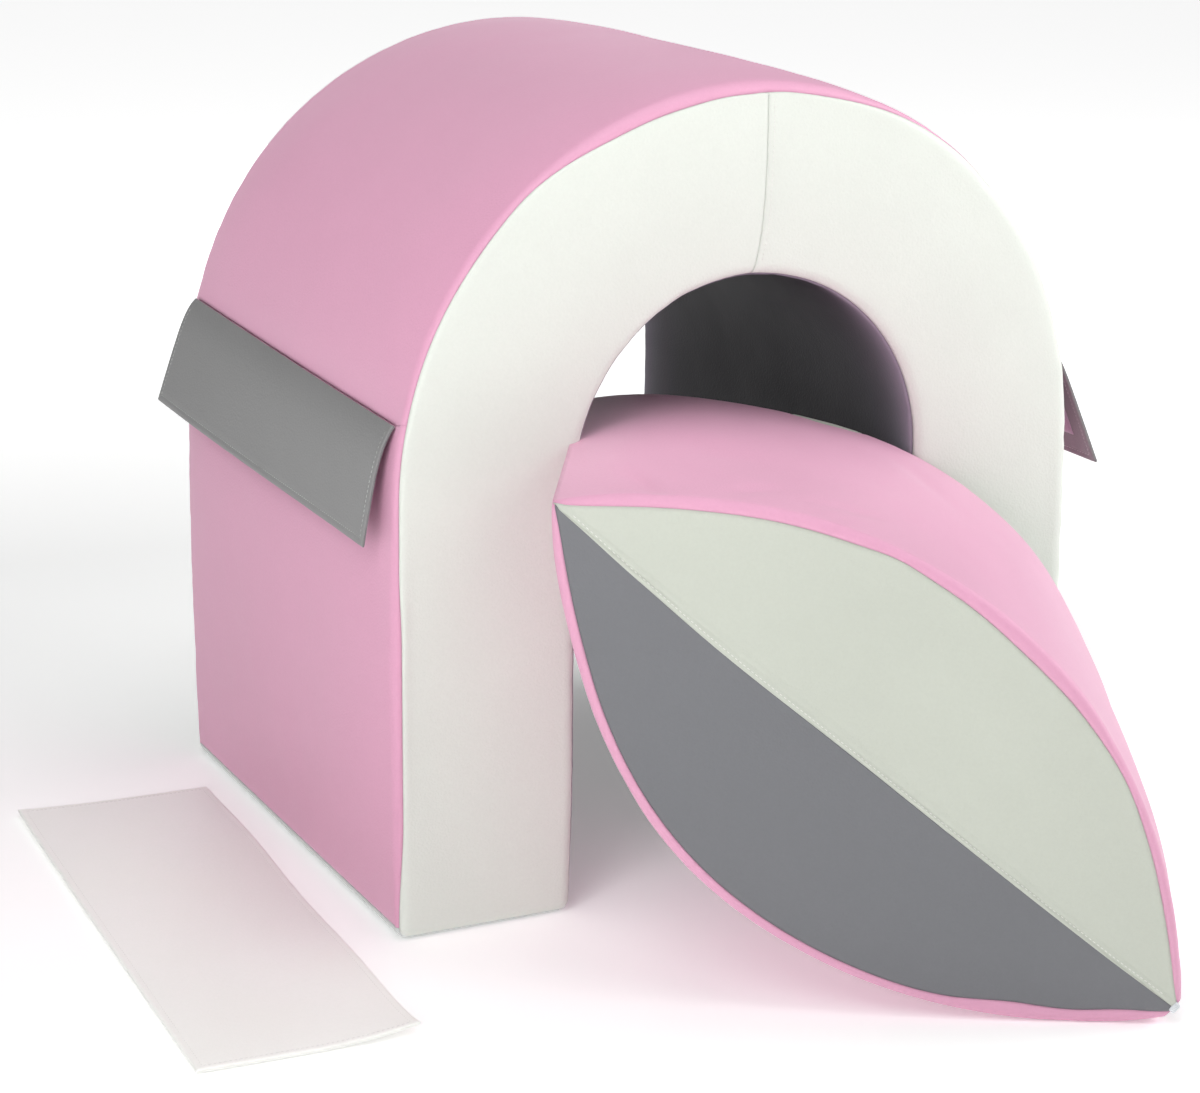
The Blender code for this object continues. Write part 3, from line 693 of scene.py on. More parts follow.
def padding(co, normal):
    """How far the stuffed cover stands out from the plain block at a point, in metres."""
    radius, angle = radial(co)
    climb = math.degrees(angle)
    gap, along = seam_gap(co)
    radial_way = Vector((co.x, 0.0, max(0.0, co.z - ARCH_CENTRE_Z))).normalized()
    outward = normal.dot(radial_way)
    end_on = abs(normal.y)
    across = min(1.0, abs(co.y) / END_SEAM_Y)
    dome = 1.0 - across ** DOME_POWER
    lift = 0.0
    if outward > 0.1:
        from_flap = radius * abs(angle - FLAP_SEAM)
        shoulder = SHOULDER_RISE - SHOULDER_DROP * across ** SHOULDER_POWER
        lift += shoulder * outward * ramp(co.z, 0.02, 0.12) * ramp(from_flap, 0.0, 0.03)
        if angle < FLAP_SEAM and co.z < FLAP_SEAM_Z:
            swell = math.sin(math.pi * co.z / FLAP_SEAM_Z) ** 0.8
            pressed = ramp(co.z, *FLAP_PRESS_HEIGHTS) * ramp(-abs(co.y), *FLAP_PRESS_ENDS)
            lift += (WALL_BOW + WALL_BULGE * dome) * swell * outward
            lift *= 1.0 - FLAP_PRESS * pressed
        else:
            share = (angle - FLAP_SEAM) / (math.pi / 2 - FLAP_SEAM)
            swell = math.sin(math.pi / 2 * min(1.0, share * 1.6))
            lift += (CROWN_BOW + CROWN_BULGE * dome) * swell * outward
            lift += TOP_BOW * ramp(share, 0.55, 1.0) * outward
    if outward < -0.1:
        bow = LINING_BULGE * dome
        if co.x < 0:
            bow += LINING_BOW_LEFT * (1.0 - ramp(climb, 30.0, 75.0))
        else:
            bow += LINING_BOW_BACK * ramp(co.y, 0.0, HALF_DEPTH) * (1.0 - ramp(climb, 40.0, 80.0))
        lift += bow * -outward * ramp(co.z, 0.0, 0.10)
    if end_on > 0.1:
        leaf = 1.0 - ((radius - WALL_MIDDLE) / (HALF_WIDTH - WALL_MIDDLE)) ** 2
        lift += END_BULGE * max(0.0, leaf) * end_on * ramp(co.z, 0.0, 0.07)
        if co.z > ARCH_CENTRE_Z:
            lift -= dent(co.x, TOP_SEAM_SINK, top_seam_x(co.z), TOP_SEAM_WIDTH) * end_on
    settled = ramp(co.z, 0.0, 0.03)
    lift += settled * ramp(gap, 0.0, 0.02) * lumps(co, COVER_LUMPS)
    lift += settled * lumps((along, 0.0, 0.0), PUCKERS) * beside_seam(gap)
    lift -= SEAM_DEPTH * bell(gap, SEAM_HALF_WIDTH) * ramp(co.z, 0.0005, 0.004)
    return lift


def flap_seam_rise(co):
    """How much higher than level the left flap's seam runs at a point of the left wall."""
    radius, angle = radial(co)
    if co.x > -WALL_MIDDLE or co.z < ARCH_CENTRE_Z - 0.02:
        return 0.0
    near = bell(radius * (angle - FLAP_SEAM), 0.024)
    near *= ramp(-abs(co.y), -HALF_DEPTH, -END_SEAM_Y + 0.01)
    return root_rise(LEFT_FLAP, co.y) * near


def cover_skin():
    """The block's skin, cut in rows along every seam and padded."""
    bm = arched_block(0.0, LEG_ROWS, ARCH_ROWS, ROUNDING_SEGMENTS)
    for shortest, cuts in ((LONG_EDGE, WALL_CUTS), (MIDDLE_EDGE, END_CUTS)):
        long_edges = [edge for edge in bm.edges if edge.calc_length() > shortest]
        bmesh.ops.subdivide_edges(bm, edges=long_edges, cuts=cuts, use_grid_fill=True)
    for end in (-1, 1):
        def by_top_seam(co):
            return co.y * end > END_SEAM_Y - 0.001 and co.z > ARCH_CENTRE_Z and abs(co.x) < 0.05
        cut_rows(bm, (0.0, end * EDGE_SEAM_Y, 0.0), (0.0, 1.0, 0.0),
                 lambda co: abs(co.y) > END_SEAM_Y - 0.02, EDGE_SEAM_OFFSETS)
        cut_rows(bm, (0.0, 0.0, 0.0), (1.0, 0.0, 0.0), by_top_seam)
    for side in (-1, 1):
        def by_flap_seam(co):
            return co.x * side > WALL_MIDDLE and 0.03 < co.z - ARCH_CENTRE_Z < 0.10
        seam_normal = (-side * math.sin(FLAP_SEAM), 0.0, math.cos(FLAP_SEAM))
        cut_rows(bm, (0.0, 0.0, ARCH_CENTRE_Z), seam_normal, by_flap_seam)
        for slot_x in (SLOT_NEAR, SLOT_FAR):
            cut_rows(bm, (side * slot_x, 0.0, 0.0), (1.0, 0.0, 0.0), lambda co: co.z < 1e-4, (0.0,))
    cut_rows(bm, (0.0, 0.0, FOOT_SEAM_Z), (0.0, 0.0, 1.0), lambda co: co.z < 0.02)
    # Layers for the seams' darkening, as dust and painted shade, and for the lining's rim paled as
    # painted light
    layer = bm.verts.layers.float.new("seam")
    rim = bm.verts.layers.float.new("rim")
    panels = {}
    for face in bm.faces:
        panels.setdefault(panel_of(face.calc_center_median()), set()).add(face.index)
    for vert in bm.verts:
        vert.co = slide_seam(vert.co)
    bm.normal_update()
    moves = [(vert, vert.normal.copy(), padding(vert.co, vert.normal)) for vert in bm.verts]
    for vert, normal, lift in moves:
        # Seams darkened as dust and painted shade; the lining's rim paled as painted light
        on_top = vert.co.z > ARCH_CENTRE_Z and abs(vert.co.x - top_seam_x(vert.co.z)) < 0.004
        dust_and_shade = TOP_SEAM_DUST_AND_SHADE if on_top else SEAM_DUST_AND_SHADE
        vert[layer] = dust_and_shade * bell(seam_gap(vert.co)[0], DUST_AND_SHADE_HALF_WIDTH)
        vert[rim] = lining_lit_rim(vert.co)
        vert.co += normal * lift
        vert.co.z += flap_seam_rise(vert.co)
    return bm, panels


COVERS = {
    "crown_cover": (PINK_COVER, "pink_cover", "crown_wrap"),
    "left_side_cover": (PINK_COVER, "pink_cover", "left_side_panel"),
    "right_side_cover": (PINK_COVER, "pink_cover", "right_side_panel"),
    "front_cover_left": (WHITE_COVER, "white_cover", "front_panel_left"),
    "front_cover_right": (WHITE_COVER, "white_cover", "front_panel_right"),
    "back_cover_left": (WHITE_COVER, "white_cover", "back_panel_left"),
    "back_cover_right": (WHITE_COVER, "white_cover", "back_panel_right"),
    "opening_lining_cloth": (LINING_CLOTH_PAINTED_SHADE, "lining", "opening_lining"),
    "left_sole_outer": (SOLE_CLOTH, "sole", "left_base_panel_outer"),
    "left_sole_inner": (SOLE_CLOTH, "sole", "left_base_panel_inner"),
    "right_sole_outer": (SOLE_CLOTH, "sole", "right_base_panel_outer"),
    "right_sole_inner": (SOLE_CLOTH, "sole", "right_base_panel_inner"),
}


def make_tunnel():
    """All covers of the block, the foam in it, and the stitches of the top seams."""
    skin, panels = cover_skin()
    for name, (material, slot, node) in COVERS.items():
        bm = skin.copy()
        bm.faces.ensure_lookup_table()
        others = [face for face in bm.faces if face.index not in panels[name]]
        bmesh.ops.delete(bm, geom=others, context="FACES")
        piece = finish_piece(name, bm, material, "tunnel", (node,), wall=COVER)
    skin.free()
    core = arched_block(0.005, 8, 40, 3)
    padded_core = finish_piece("tunnel_foam", core, FOAM, "tunnel", ("tunnel_foam_core",))
    for end, label in ((-1, "front"), (1, "back")):
        row = []
        for radius in spaced(OPENING_RADIUS + 0.012, HALF_WIDTH - 0.012):
            height = ARCH_CENTRE_Z + radius
            spot = Vector((top_seam_x(height) + 0.0048, end * HALF_DEPTH, height))
            outward = Vector((0.0, end, 0.0))
            row.append((spot + outward * (padding(spot, outward) + STITCH_RISE), outward))
        sew(f"{label}_top_seam_stitches", [row], WHITE_THREAD, "tunnel")


# Flaps

FLAP_STEPS = 24
FLAP_TURN_START = 0.001
FLAP_TURN_END = 0.016
# A hem's thickness at its very edge, as a share, and how far in its rounding runs, in thicknesses
HEM_EDGE = 0.12
HEM_ROUND = 1.3
HEM_SINK = 0.0004
HEM_SWELL = 0.0002
END_DENSITY = 0.62
FLAP_LUMPS = ((0.0002, 0.03, 0.0),)


def root_rise(flap, y):
    """Height of a flap's seam above level at a place along it."""
    level, slope, bend = flap["rise"]
    share = y / (FLAP_LENGTH / 2)
    return level + slope * share + bend * share * share


def flap_spot(flap, y, drop):
    """Point on the flap's middle surface, and its outward direction, in the block's frame."""
    share = ramp(y, -FLAP_LENGTH / 2, FLAP_LENGTH / 2)
    root, tip, bend = (a + (b - a) * share for a, b in zip(flap["front"], flap["back"]))
    side = flap["side"]
    out = down = 0.0
    lean = math.radians(root)
    for k in range(FLAP_STEPS):
        lean = math.radians(tip + (root - tip) * math.exp(-drop * (k + 0.5) / FLAP_STEPS / bend))
        out += math.sin(lean) * drop / FLAP_STEPS
        down += math.cos(lean) * drop / FLAP_STEPS
    x = FLAP_AXIS_RADIUS * math.cos(FLAP_SEAM) + out
    z = ARCH_CENTRE_Z + FLAP_AXIS_RADIUS * math.sin(FLAP_SEAM) - down + root_rise(flap, y)
    return Vector((side * x, y, z)), Vector((side * math.cos(lean), 0.0, math.sin(lean)))


def flap_turn(flap):
    """The two points between which a flap's cloth bends from the block to the hanging flap."""
    drops = (FLAP_TURN_START, FLAP_TURN_END)
    return [tuple(TO_PART @ flap_spot(flap, 0.0, drop)[0]) for drop in drops]


def sewn_pad(edge_gap, half_thickness):
    """Half thickness of two layers sewn together near their edge, at a distance from it."""
    if edge_gap <= 0.0:
        return half_thickness * HEM_EDGE
    curl = min(1.0, edge_gap / (half_thickness * HEM_ROUND))
    curve = math.sqrt(max(0.0, 1.0 - (1.0 - curl) ** 2))
    stitched = dent(edge_gap, HEM_SINK, HEM_TURN, 0.0011)
    stuffed = dent(edge_gap, HEM_SWELL, HEM_TURN / 2, 0.002)
    return half_thickness * (HEM_EDGE + (1.0 - HEM_EDGE) * curve) - stitched + stuffed


def dense_ends(share):
    """Spread values from -1 to 1 so that more of them lie near both ends."""
    return math.copysign(1.0 - (1.0 - abs(share)) ** (1.0 / END_DENSITY), share)


def make_flap_layer(flap, label, layer, way):
    """One layer of a flap, turned in at the hem; way is 1 outside and -1 inside."""
    bm = cloth_grid(120, 40)
    for vert in bm.verts:
        y = FLAP_LENGTH / 2 * dense_ends(vert.co.x)
        drop = flap["drop"] * (dense_ends(vert.co.y) + 1.0) / 2
        edge_gap = min(FLAP_LENGTH / 2 - abs(y), flap["drop"] - drop)
        spot, outward = flap_spot(flap, y, drop)
        swell = sewn_pad(edge_gap, FLAP_HALF_THICKNESS) + lumps((y, drop, way), FLAP_LUMPS)
        vert.co = spot + outward * way * swell
    _, outward = flap_spot(flap, 0.0, flap["drop"] / 2)
    face_towards(bm, outward * way)
    piece = finish_piece(f"{label}_flap_{layer}", bm, GREY_COVER, f"{label}_flap",
                         (f"{label}_flap_{layer}_layer",), wall=FLAP_CLOTH, bend=flap_turn(flap))


def hem_row(flap, way):
    """Stitch places down one end of a flap, along its hem and up the other end."""
    reach = FLAP_LENGTH / 2 - HEM_TURN
    bottom = flap["drop"] - HEM_TURN
    corners = ((-reach, HEM_TURN), (-reach, bottom), (reach, bottom), (reach, HEM_TURN))
    row = []
    for y, drop in along_corners(corners):
        spot, outward = flap_spot(flap, y, drop)
        row.append((spot + outward * way * (FLAP_HALF_THICKNESS - STITCH_SINK), outward * way))
    return row


def make_flap(flap, label):
    """Two layers, the hook panel inside and their stitches."""
    make_flap_layer(flap, label, "outer", 1)
    make_flap_layer(flap, label, "inner", -1)
    sew(f"{label}_flap_hem_stitches", [hem_row(flap, 1), hem_row(flap, -1)], PALE_THREAD,
        f"{label}_flap", bend=flap_turn(flap))
    bm = cloth_grid(90, 16)
    for vert in bm.verts:
        drop = HOOKS_DROP + HOOKS_HALF_WIDTH * vert.co.y
        spot, outward = flap_spot(flap, HOOKS_HALF_LENGTH * vert.co.x, drop)
        rim = min(1.0 - abs(vert.co.x), 0.16 * (1.0 - abs(vert.co.y))) * HOOKS_HALF_LENGTH
        vert.co = spot - outward * (FLAP_HALF_THICKNESS + FLAP_CLOTH - dent(rim, HEM_SINK, 0.0, 0.002))
    face_towards(bm, -flap_spot(flap, 0.0, HOOKS_DROP)[1])
    piece = finish_piece(f"{label}_flap_hooks", bm, HOOKS_PAINTED_PINK_BOUNCE, f"{label}_flap",
                         (f"{label}_flap_hook_panel",), wall=HOOK_CLOTH)


# Rocker covers, laid over the foam lens

ROCKER_FOAM_INSET = 0.006
ROCKER_FLAT = ROCKER_HALF_WIDTH - ROCKER_EDGE
ROCKER_ROUND = ROCKER_EDGE * math.pi / 2


def chord_depth(turn):
    """How deep under the arc the chord lies, looking from the arc's centre."""
    return ROCKER_RADIUS - ROCKER_DROP / math.cos(turn)


def length_at(inset):
    """Length round the section from the band's middle to an inset on the face or the band."""
    if inset < 0.0:
        return ROCKER_FLAT + inset
    if inset < ROCKER_EDGE:
        return ROCKER_FLAT + ROCKER_EDGE * math.acos(1.0 - inset / ROCKER_EDGE)
    return ROCKER_FLAT + ROCKER_ROUND + inset - ROCKER_EDGE


def section_at(length):
    """Inset, place across and outward direction (out, across) at a length round the section."""
    way = math.copysign(1.0, length)
    length = abs(length)
    if length < ROCKER_FLAT:
        return 0.0, way * length, (1.0, 0.0)
    if length < ROCKER_FLAT + ROCKER_ROUND:
        turn = (length - ROCKER_FLAT) / ROCKER_EDGE
        out, aside = math.cos(turn), math.sin(turn)
        across = ROCKER_FLAT + ROCKER_EDGE * aside
        return ROCKER_EDGE * (1.0 - out), way * across, (out, way * aside)
    return ROCKER_EDGE + length - ROCKER_FLAT - ROCKER_ROUND, way * ROCKER_HALF_WIDTH, (0.0, way)


SEAM_INSET = 0.0085
# Drift inwards, place from tip to tip and width of each wave in the faces' seams, by side (1 is
# the upper) and end (-1 is the front)
SEAM_DRIFT = {
    (1, -1): ((-0.0020, -0.27, 0.07), (0.0027, 0.08, 0.16), (-0.0015, 0.45, 0.10),
              (0.0013, 0.74, 0.12)),
    (-1, -1): ((0.0055, 0.63, 0.12), (0.0028, 0.86, 0.09)),
    (1, 1): ((-0.0135, -0.42, 0.12),),
    (-1, 1): (),
}


def seam_inset(side, end, share):
    """How far in from the arc the face's seam runs; share goes from -1 to 1, tip to tip."""
    inset = SEAM_INSET * (1.0 - share ** 16)
    inset += sum(dent(share, *wave) for wave in SEAM_DRIFT[side, end])
    return min(inset, 0.7 * chord_depth(share * ROCKER_END_TURN))


CHORD_SAG = 0.0048
BACK_SAG_LOW = 0.0090
TIP_SAG = 0.0045
TIP_REACH = 0.0075
# Depth, place along the chord and width of each single dent
CHORD_DENT = (0.0030, -0.15, 0.10)
BACK_DENT = (0.0062, -0.18, 0.085)
FRONT_DENT = (0.0010, 0.175, 0.045)
BELLY_SAG = (0.0100, -0.06, 0.16)
BELLY_SPREAD = (0.0035, 0.14, 0.11)


def sag(spot):
    """The soft lens as it leans: its belly hangs and spreads on the floor, its far edge sinks."""
    reach = max(0.0, 1.0 - (spot.x / ROCKER_HALF_CHORD) ** 2)
    height = math.sqrt(max(0.0, ROCKER_RADIUS ** 2 - spot.x ** 2)) - ROCKER_DROP
    share = min(1.0, abs(spot.z) / max(height, 0.001))
    front = ramp(-spot.y, -ROCKER_HALF_WIDTH, ROCKER_HALF_WIDTH)
    fall = (CHORD_SAG * reach + dent(spot.x, *CHORD_DENT)) * (1.0 - share) * front
    spread = 0.0
    if spot.z > 0:
        far = BACK_SAG_LOW * ramp(spot.x, 0.04, 0.16) * ramp(-spot.x, -ROCKER_HALF_CHORD, -0.20)
        fall += (dent(spot.x, *BACK_DENT) + far) * share * (1.0 - front)
        fall += dent(spot.x, *FRONT_DENT) * share * front
    else:
        fall += dent(spot.x, *BELLY_SAG) * share * front
        fall += TIP_SAG * ramp(spot.x, 0.22, ROCKER_HALF_CHORD) * share
        spread = dent(spot.x, *BELLY_SPREAD) * share * front
    reach_out = TIP_REACH * ramp(-spot.x, 0.20, ROCKER_HALF_CHORD)
    return spot - Vector((reach_out, spread, fall))


def lens_spot(side, turn, length, lift):
    """A point of the rocker's cover, lifted off the plain form, and its outward direction."""
    inset, across, (out, aside) = section_at(length)
    radius = ROCKER_RADIUS - inset
    up = Vector((math.sin(turn), 0.0, side * math.cos(turn)))
    outward = (up * out + Vector((0.0, aside, 0.0))).normalized()
    spot = up * radius + Vector((0.0, across, -side * ROCKER_DROP))
    return sag(spot + outward * lift), outward


# Place along the arc and across, tilt, depth, length and width of each crease in the upper band
BAND_CREASES = (
    (-0.277, -0.130, -1.19, 0.0030, 0.030, 0.007),
    (-0.230, -0.020, -1.00, 0.0032, 0.050, 0.026),
    (-0.200, -0.118, 0.80, 0.0018, 0.030, 0.010),
    (-0.130, -0.110, 0.40, 0.0016, 0.030, 0.010),
    (-0.060, 0.085, -0.90, 0.0020, 0.045, 0.018),
)
# How far the upper band's front edge sinks towards the lower tip
FRONT_EDGE_SINK = 0.0034
BAND_CROWN = 0.0016
BAND_LUMPS = ((0.0009, 0.10, 1.0), (0.0004, 0.034, 3.0))
BAND_PUCKERS = ((0.0004, 0.014, 5.0),)
FACE_PUCKERS = ((0.0004, 0.014, 8.0),)
# Share of a band's cells across that lie before the fold at each edge
BEFORE_FOLD = 0.72


def band_lift(side, turn, length, seam_length):
    """Padding of a band: a slight crown, soft dents, and the seams at both folds."""
    gap = seam_length - abs(length)
    arc = turn * ROCKER_RADIUS
    crown = BAND_CROWN * max(0.0, 1.0 - (length / ROCKER_FLAT) ** 2)
    lift = crown + lumps((arc, length, side), BAND_LUMPS)
    if side > 0:
        for place, across, tilt, depth, long, wide in BAND_CREASES:
            u = (arc - place) * math.cos(tilt) + (length - across) * math.sin(tilt)
            v = -(arc - place) * math.sin(tilt) + (length - across) * math.cos(tilt)
            lift -= depth * bell(u, long) * bell(v, wide)
        share = turn / ROCKER_END_TURN
        near = ramp(share, 0.25, 0.42) * ramp(-share, -0.97, -0.85) * ramp(-length, 0.09, 0.15)
        lift -= FRONT_EDGE_SINK * near
    end = ROCKER_END_TURN * ROCKER_RADIUS - abs(arc)
    lift *= ramp(end, 0.0, 0.05) * ramp(gap, 0.0, 0.02)
    lift += lumps((arc, side, 0.0), BAND_PUCKERS) * beside_seam(gap)
    return lift - SEAM_DEPTH * bell(gap, SEAM_HALF_WIDTH)


def trim_tip(bm, reach):
    """Cut off what lies beyond a reach towards the lower tip, where the zip closes the cover."""
    bmesh.ops.bisect_plane(bm, geom=bm.verts[:] + bm.edges[:] + bm.faces[:], dist=1e-6,
                           plane_co=(reach, 0.0, 0.0), plane_no=(1.0, 0.0, 0.0), clear_outer=True)


def make_band(side, label):
    """Pink cover of one curved side, folded round both edges."""
    bm = cloth_grid(160, 84)
    layer = bm.verts.layers.float.new("seam")
    for vert in bm.verts:
        turn = vert.co.x * ROCKER_END_TURN
        end = -1 if vert.co.y < 0 else 1
        seam_length = length_at(seam_inset(side, end, vert.co.x))
        share = abs(vert.co.y)
        fold = min(ROCKER_FLAT, seam_length - 0.003)
        if share < BEFORE_FOLD:
            length = fold * share / BEFORE_FOLD
        else:
            length = fold + (seam_length - fold) * (share - BEFORE_FOLD) / (1.0 - BEFORE_FOLD)
        # Seam darkened as dust and painted shade in its groove
        vert[layer] = SEAM_DUST_AND_SHADE * bell(seam_length - length, DUST_AND_SHADE_HALF_WIDTH)
        length *= end
        vert.co = lens_spot(side, turn, length, band_lift(side, turn, length, seam_length))[0]
    trim_tip(bm, ROCKER_TIP_U)
    face_away(bm)
    piece = finish_piece(f"rocker_{label}_cover", bm, PINK_COVER, "rocker",
                         (f"rocker_{label}_band",), place=ROCKER_TO_PART, wall=COVER)


FACE_BULGE = 0.0025
CHORD_DEPTH = 0.0008
CHORD_HALF_WIDTH = 0.0009
FOLD_RISE = 0.0004
FOLD_SINK = 0.0002
# Darkening painted at the chord: dust and painted shade above it on the white, and below it on the grey
# the painted shadow of the raised fold, with dust
CHORD_DUST_AND_SHADE_ABOVE = 0.08
CHORD_DUST_AND_SHADOW_BELOW = 0.4
CHORD_STITCH_RISE = 0.0034


def face_lift(side, end, spot, gap, chord_gap):
    """Padding of a face half: dome, seam at its rim, and the raised fold along the chord."""
    lift = FACE_BULGE * ramp(gap, 0.0, 0.05)
    lift += lumps(spot, ((0.0007, 0.12, 7.0 + end),)) * ramp(gap, 0.0, 0.03)
    lift += lumps((spot.x, side, 0.0), FACE_PUCKERS) * beside_seam(gap)
    lift *= ramp(ROCKER_HALF_CHORD - abs(spot.x), 0.0, 0.06)
    if side > 0:
        lift += FOLD_RISE * ramp(0.0046 - chord_gap, 0.0, 0.0012)
        lift -= dent(chord_gap, FOLD_SINK, 0.0052, 0.001)
    lift -= CHORD_DEPTH * bell(chord_gap, CHORD_HALF_WIDTH)
    return lift - SEAM_DEPTH * bell(gap, SEAM_HALF_WIDTH)


def face_spot(side, end, share, sink):
    """A point of a face half: share runs tip to tip, sink from the seam (0) to the chord (1)."""
    turn = share * ROCKER_END_TURN
    seam_length = length_at(seam_inset(side, end, share))
    chord_length = length_at(max(0.0, chord_depth(turn)))
    length = seam_length + (chord_length - seam_length) * sink
    plain, _ = lens_spot(side, turn, length * end, 0.0)
    lift = face_lift(side, end, plain, length - seam_length, abs(plain.z))
    spot, outward = lens_spot(side, turn, length * end, lift)
    return spot, outward, length - seam_length, abs(plain.z)


def make_face(side, end, label, material, node):
    """One half of a face, from the seam at the band to the chord."""
    bm = cloth_grid(160, 44)
    layer = bm.verts.layers.float.new("seam")
    # Darkening painted at the seam and chord: dust and painted shade, and on the grey the painted
    # shadow of the fold above
    chord_dust_and_shade = CHORD_DUST_AND_SHADE_ABOVE if side > 0 else CHORD_DUST_AND_SHADOW_BELOW
    for vert in bm.verts:
        sink = (0.8 * math.sin(vert.co.y * math.pi / 2) + 0.2 * vert.co.y + 1.0) / 2
        spot, _, gap, chord_gap = face_spot(side, end, vert.co.x, sink)
        seam_dust_and_shade = SEAM_DUST_AND_SHADE * bell(gap, DUST_AND_SHADE_HALF_WIDTH)
        vert[layer] = max(seam_dust_and_shade, chord_dust_and_shade * bell(chord_gap, CHORD_HALF_WIDTH))
        vert.co = spot
    bmesh.ops.remove_doubles(bm, verts=bm.verts[:], dist=2e-5)
    trim_tip(bm, ROCKER_TIP_U)
    face_away(bm)
    piece = finish_piece(label, bm, material, "rocker", (node,), place=ROCKER_TO_PART,
                         wall=COVER)


def make_rocker_foam():
    """The foam lens, a little smaller than its cover."""
    bm = bmesh.new()
    radius = ROCKER_RADIUS - ROCKER_FOAM_INSET
    turn = math.acos(ROCKER_DROP / radius)
    reach = ROCKER_HALF_WIDTH - ROCKER_FOAM_INSET
    start = bm.verts.new((-radius * math.sin(turn), -reach, 0.0))
    bmesh.ops.spin(bm, geom=[start], cent=(0.0, 0.0, -ROCKER_DROP), axis=(0.0, 1.0, 0.0),
                   angle=2 * turn, steps=48)
    bmesh.ops.mirror(bm, geom=bm.verts[:] + bm.edges[:], axis="Z", merge_dist=1e-5)
    bmesh.ops.remove_doubles(bm, verts=bm.verts[:], dist=1e-5)
    bmesh.ops.edgeloop_fill(bm, edges=bm.edges[:])
    grown = bmesh.ops.extrude_face_region(bm, geom=bm.faces[:])["geom"]
    moved = [item for item in grown if isinstance(item, bmesh.types.BMVert)]
    bmesh.ops.translate(bm, verts=moved, vec=(0.0, 2 * reach, 0.0))
    trim_tip(bm, ROCKER_TIP_U - 0.008)
    bmesh.ops.holes_fill(bm, edges=[edge for edge in bm.edges if edge.is_boundary])
    for vert in bm.verts:
        vert.co = sag(vert.co)
    bmesh.ops.recalc_face_normals(bm, faces=bm.faces[:])
    core = finish_piece("rocker_foam", bm, FOAM, "rocker", ("rocker_foam_core",),
                        place=ROCKER_TO_PART)


def make_rocker():
    """Bands, faces, chord stitches and the foam lens."""
    make_band(1, "upper")
    make_band(-1, "lower")
    for end, end_label in ((-1, "front"), (1, "back")):
        make_face(1, end, f"rocker_{end_label}_white_half", FACE_WHITE_COVER,
                  f"rocker_{end_label}_face_upper")
        make_face(-1, end, f"rocker_{end_label}_grey_half", FACE_GREY_COVER,
                  f"rocker_{end_label}_face_lower")
        outward = Vector((0.0, end, 0.0))
        row = []
        for x in spaced(0.016 - ROCKER_HALF_CHORD, ROCKER_HALF_CHORD - 0.020):
            raised = Vector((x, end * ROCKER_HALF_WIDTH, CHORD_STITCH_RISE))
            gap = chord_depth(math.atan2(x, ROCKER_DROP)) - SEAM_INSET
            lift = face_lift(1, end, raised, gap, raised.z)
            row.append((sag(raised + outward * (lift + STITCH_RISE)), outward))
        sew(f"rocker_{end_label}_chord_stitches", [row], WHITE_THREAD, "rocker",
            ROCKER_TO_PART)
    make_rocker_foam()


# Strip

STRIP_LUMPS = ((0.00035, 0.045, 2.0), (0.00015, 0.015, 5.0))


def strip_height(x, y):
    """Height of the strip's middle surface over its length Y and width X."""
    along = y / (STRIP_LENGTH / 2)
    across = x / (STRIP_WIDTH / 2)
    wave = STRIP_WAVE * math.sin(math.pi * along) ** 2 * (1 + across) / 2
    corner = STRIP_CORNER_LIFT * along ** 4 * max(0.0, -along * across) ** 2 * (0.65 - 0.35 * along)
    crease = 0.0008 * bell(y - 0.12 + 0.55 * (x + STRIP_WIDTH / 2), 0.010) * ramp(-x, -0.05, 0.08)
    return STRIP_MIDDLE_Z + wave + corner + crease


def make_strip_layer(label, way):
    """One layer of the strip, turned in at the hem; way is 1 for the top and -1 below."""
    bm = cloth_grid(44, 130)
    for vert in bm.verts:
        x = STRIP_WIDTH / 2 * dense_ends(vert.co.x)
        y = STRIP_LENGTH / 2 * dense_ends(vert.co.y)
        edge_gap = min(STRIP_WIDTH / 2 - abs(x), STRIP_LENGTH / 2 - abs(y))
        swell = sewn_pad(edge_gap, STRIP_HALF_THICKNESS)
        if way > 0:
            swell += lumps((x, y, 0.0), STRIP_LUMPS) * ramp(edge_gap, 0.0, 0.012)
        vert.co = Vector((x, y, strip_height(x, y) + way * swell))
    face_towards(bm, Vector((0.0, 0.0, way)))
    piece = finish_piece(f"strip_{label}_cloth", bm, CREAM_COVER, "strip",
                         (f"strip_{label}_layer",), place=STRIP_TO_PART, wall=FLAP_CLOTH)


def make_strip():
    """Two cream layers with a stitched hem, and two loop panels underneath."""
    make_strip_layer("top", 1)
    make_strip_layer("bottom", -1)
    a, b = STRIP_WIDTH / 2 - HEM_TURN, STRIP_LENGTH / 2 - HEM_TURN
    row = []
    for x, y in along_corners(((-a, -b), (a, -b), (a, b), (-a, b), (-a, -b))):
        top = strip_height(x, y) + STRIP_HALF_THICKNESS - STITCH_SINK
        row.append((Vector((x, y, top)), Vector((0.0, 0.0, 1.0))))
    row.append(row[0])
    sew("strip_hem_stitches", [row], WHITE_THREAD, "strip", STRIP_TO_PART)
    for side, label in ((-1, "left"), (1, "right")):
        bm = cloth_grid(12, 90)
        for vert in bm.verts:
            x = side * LOOPS_SIDE + LOOPS_HALF_WIDTH * vert.co.x
            y = LOOPS_HALF_LENGTH * vert.co.y
            vert.co = Vector((x, y, strip_height(x, y) - STRIP_HALF_THICKNESS - 0.0002))
        face_towards(bm, Vector((0.0, 0.0, -1.0)))
        piece = finish_piece(f"strip_{label}_loops", bm, LOOPS, "strip",
                             (f"strip_{label}_loop_panel",), place=STRIP_TO_PART, wall=LOOP_CLOTH)


# Zips

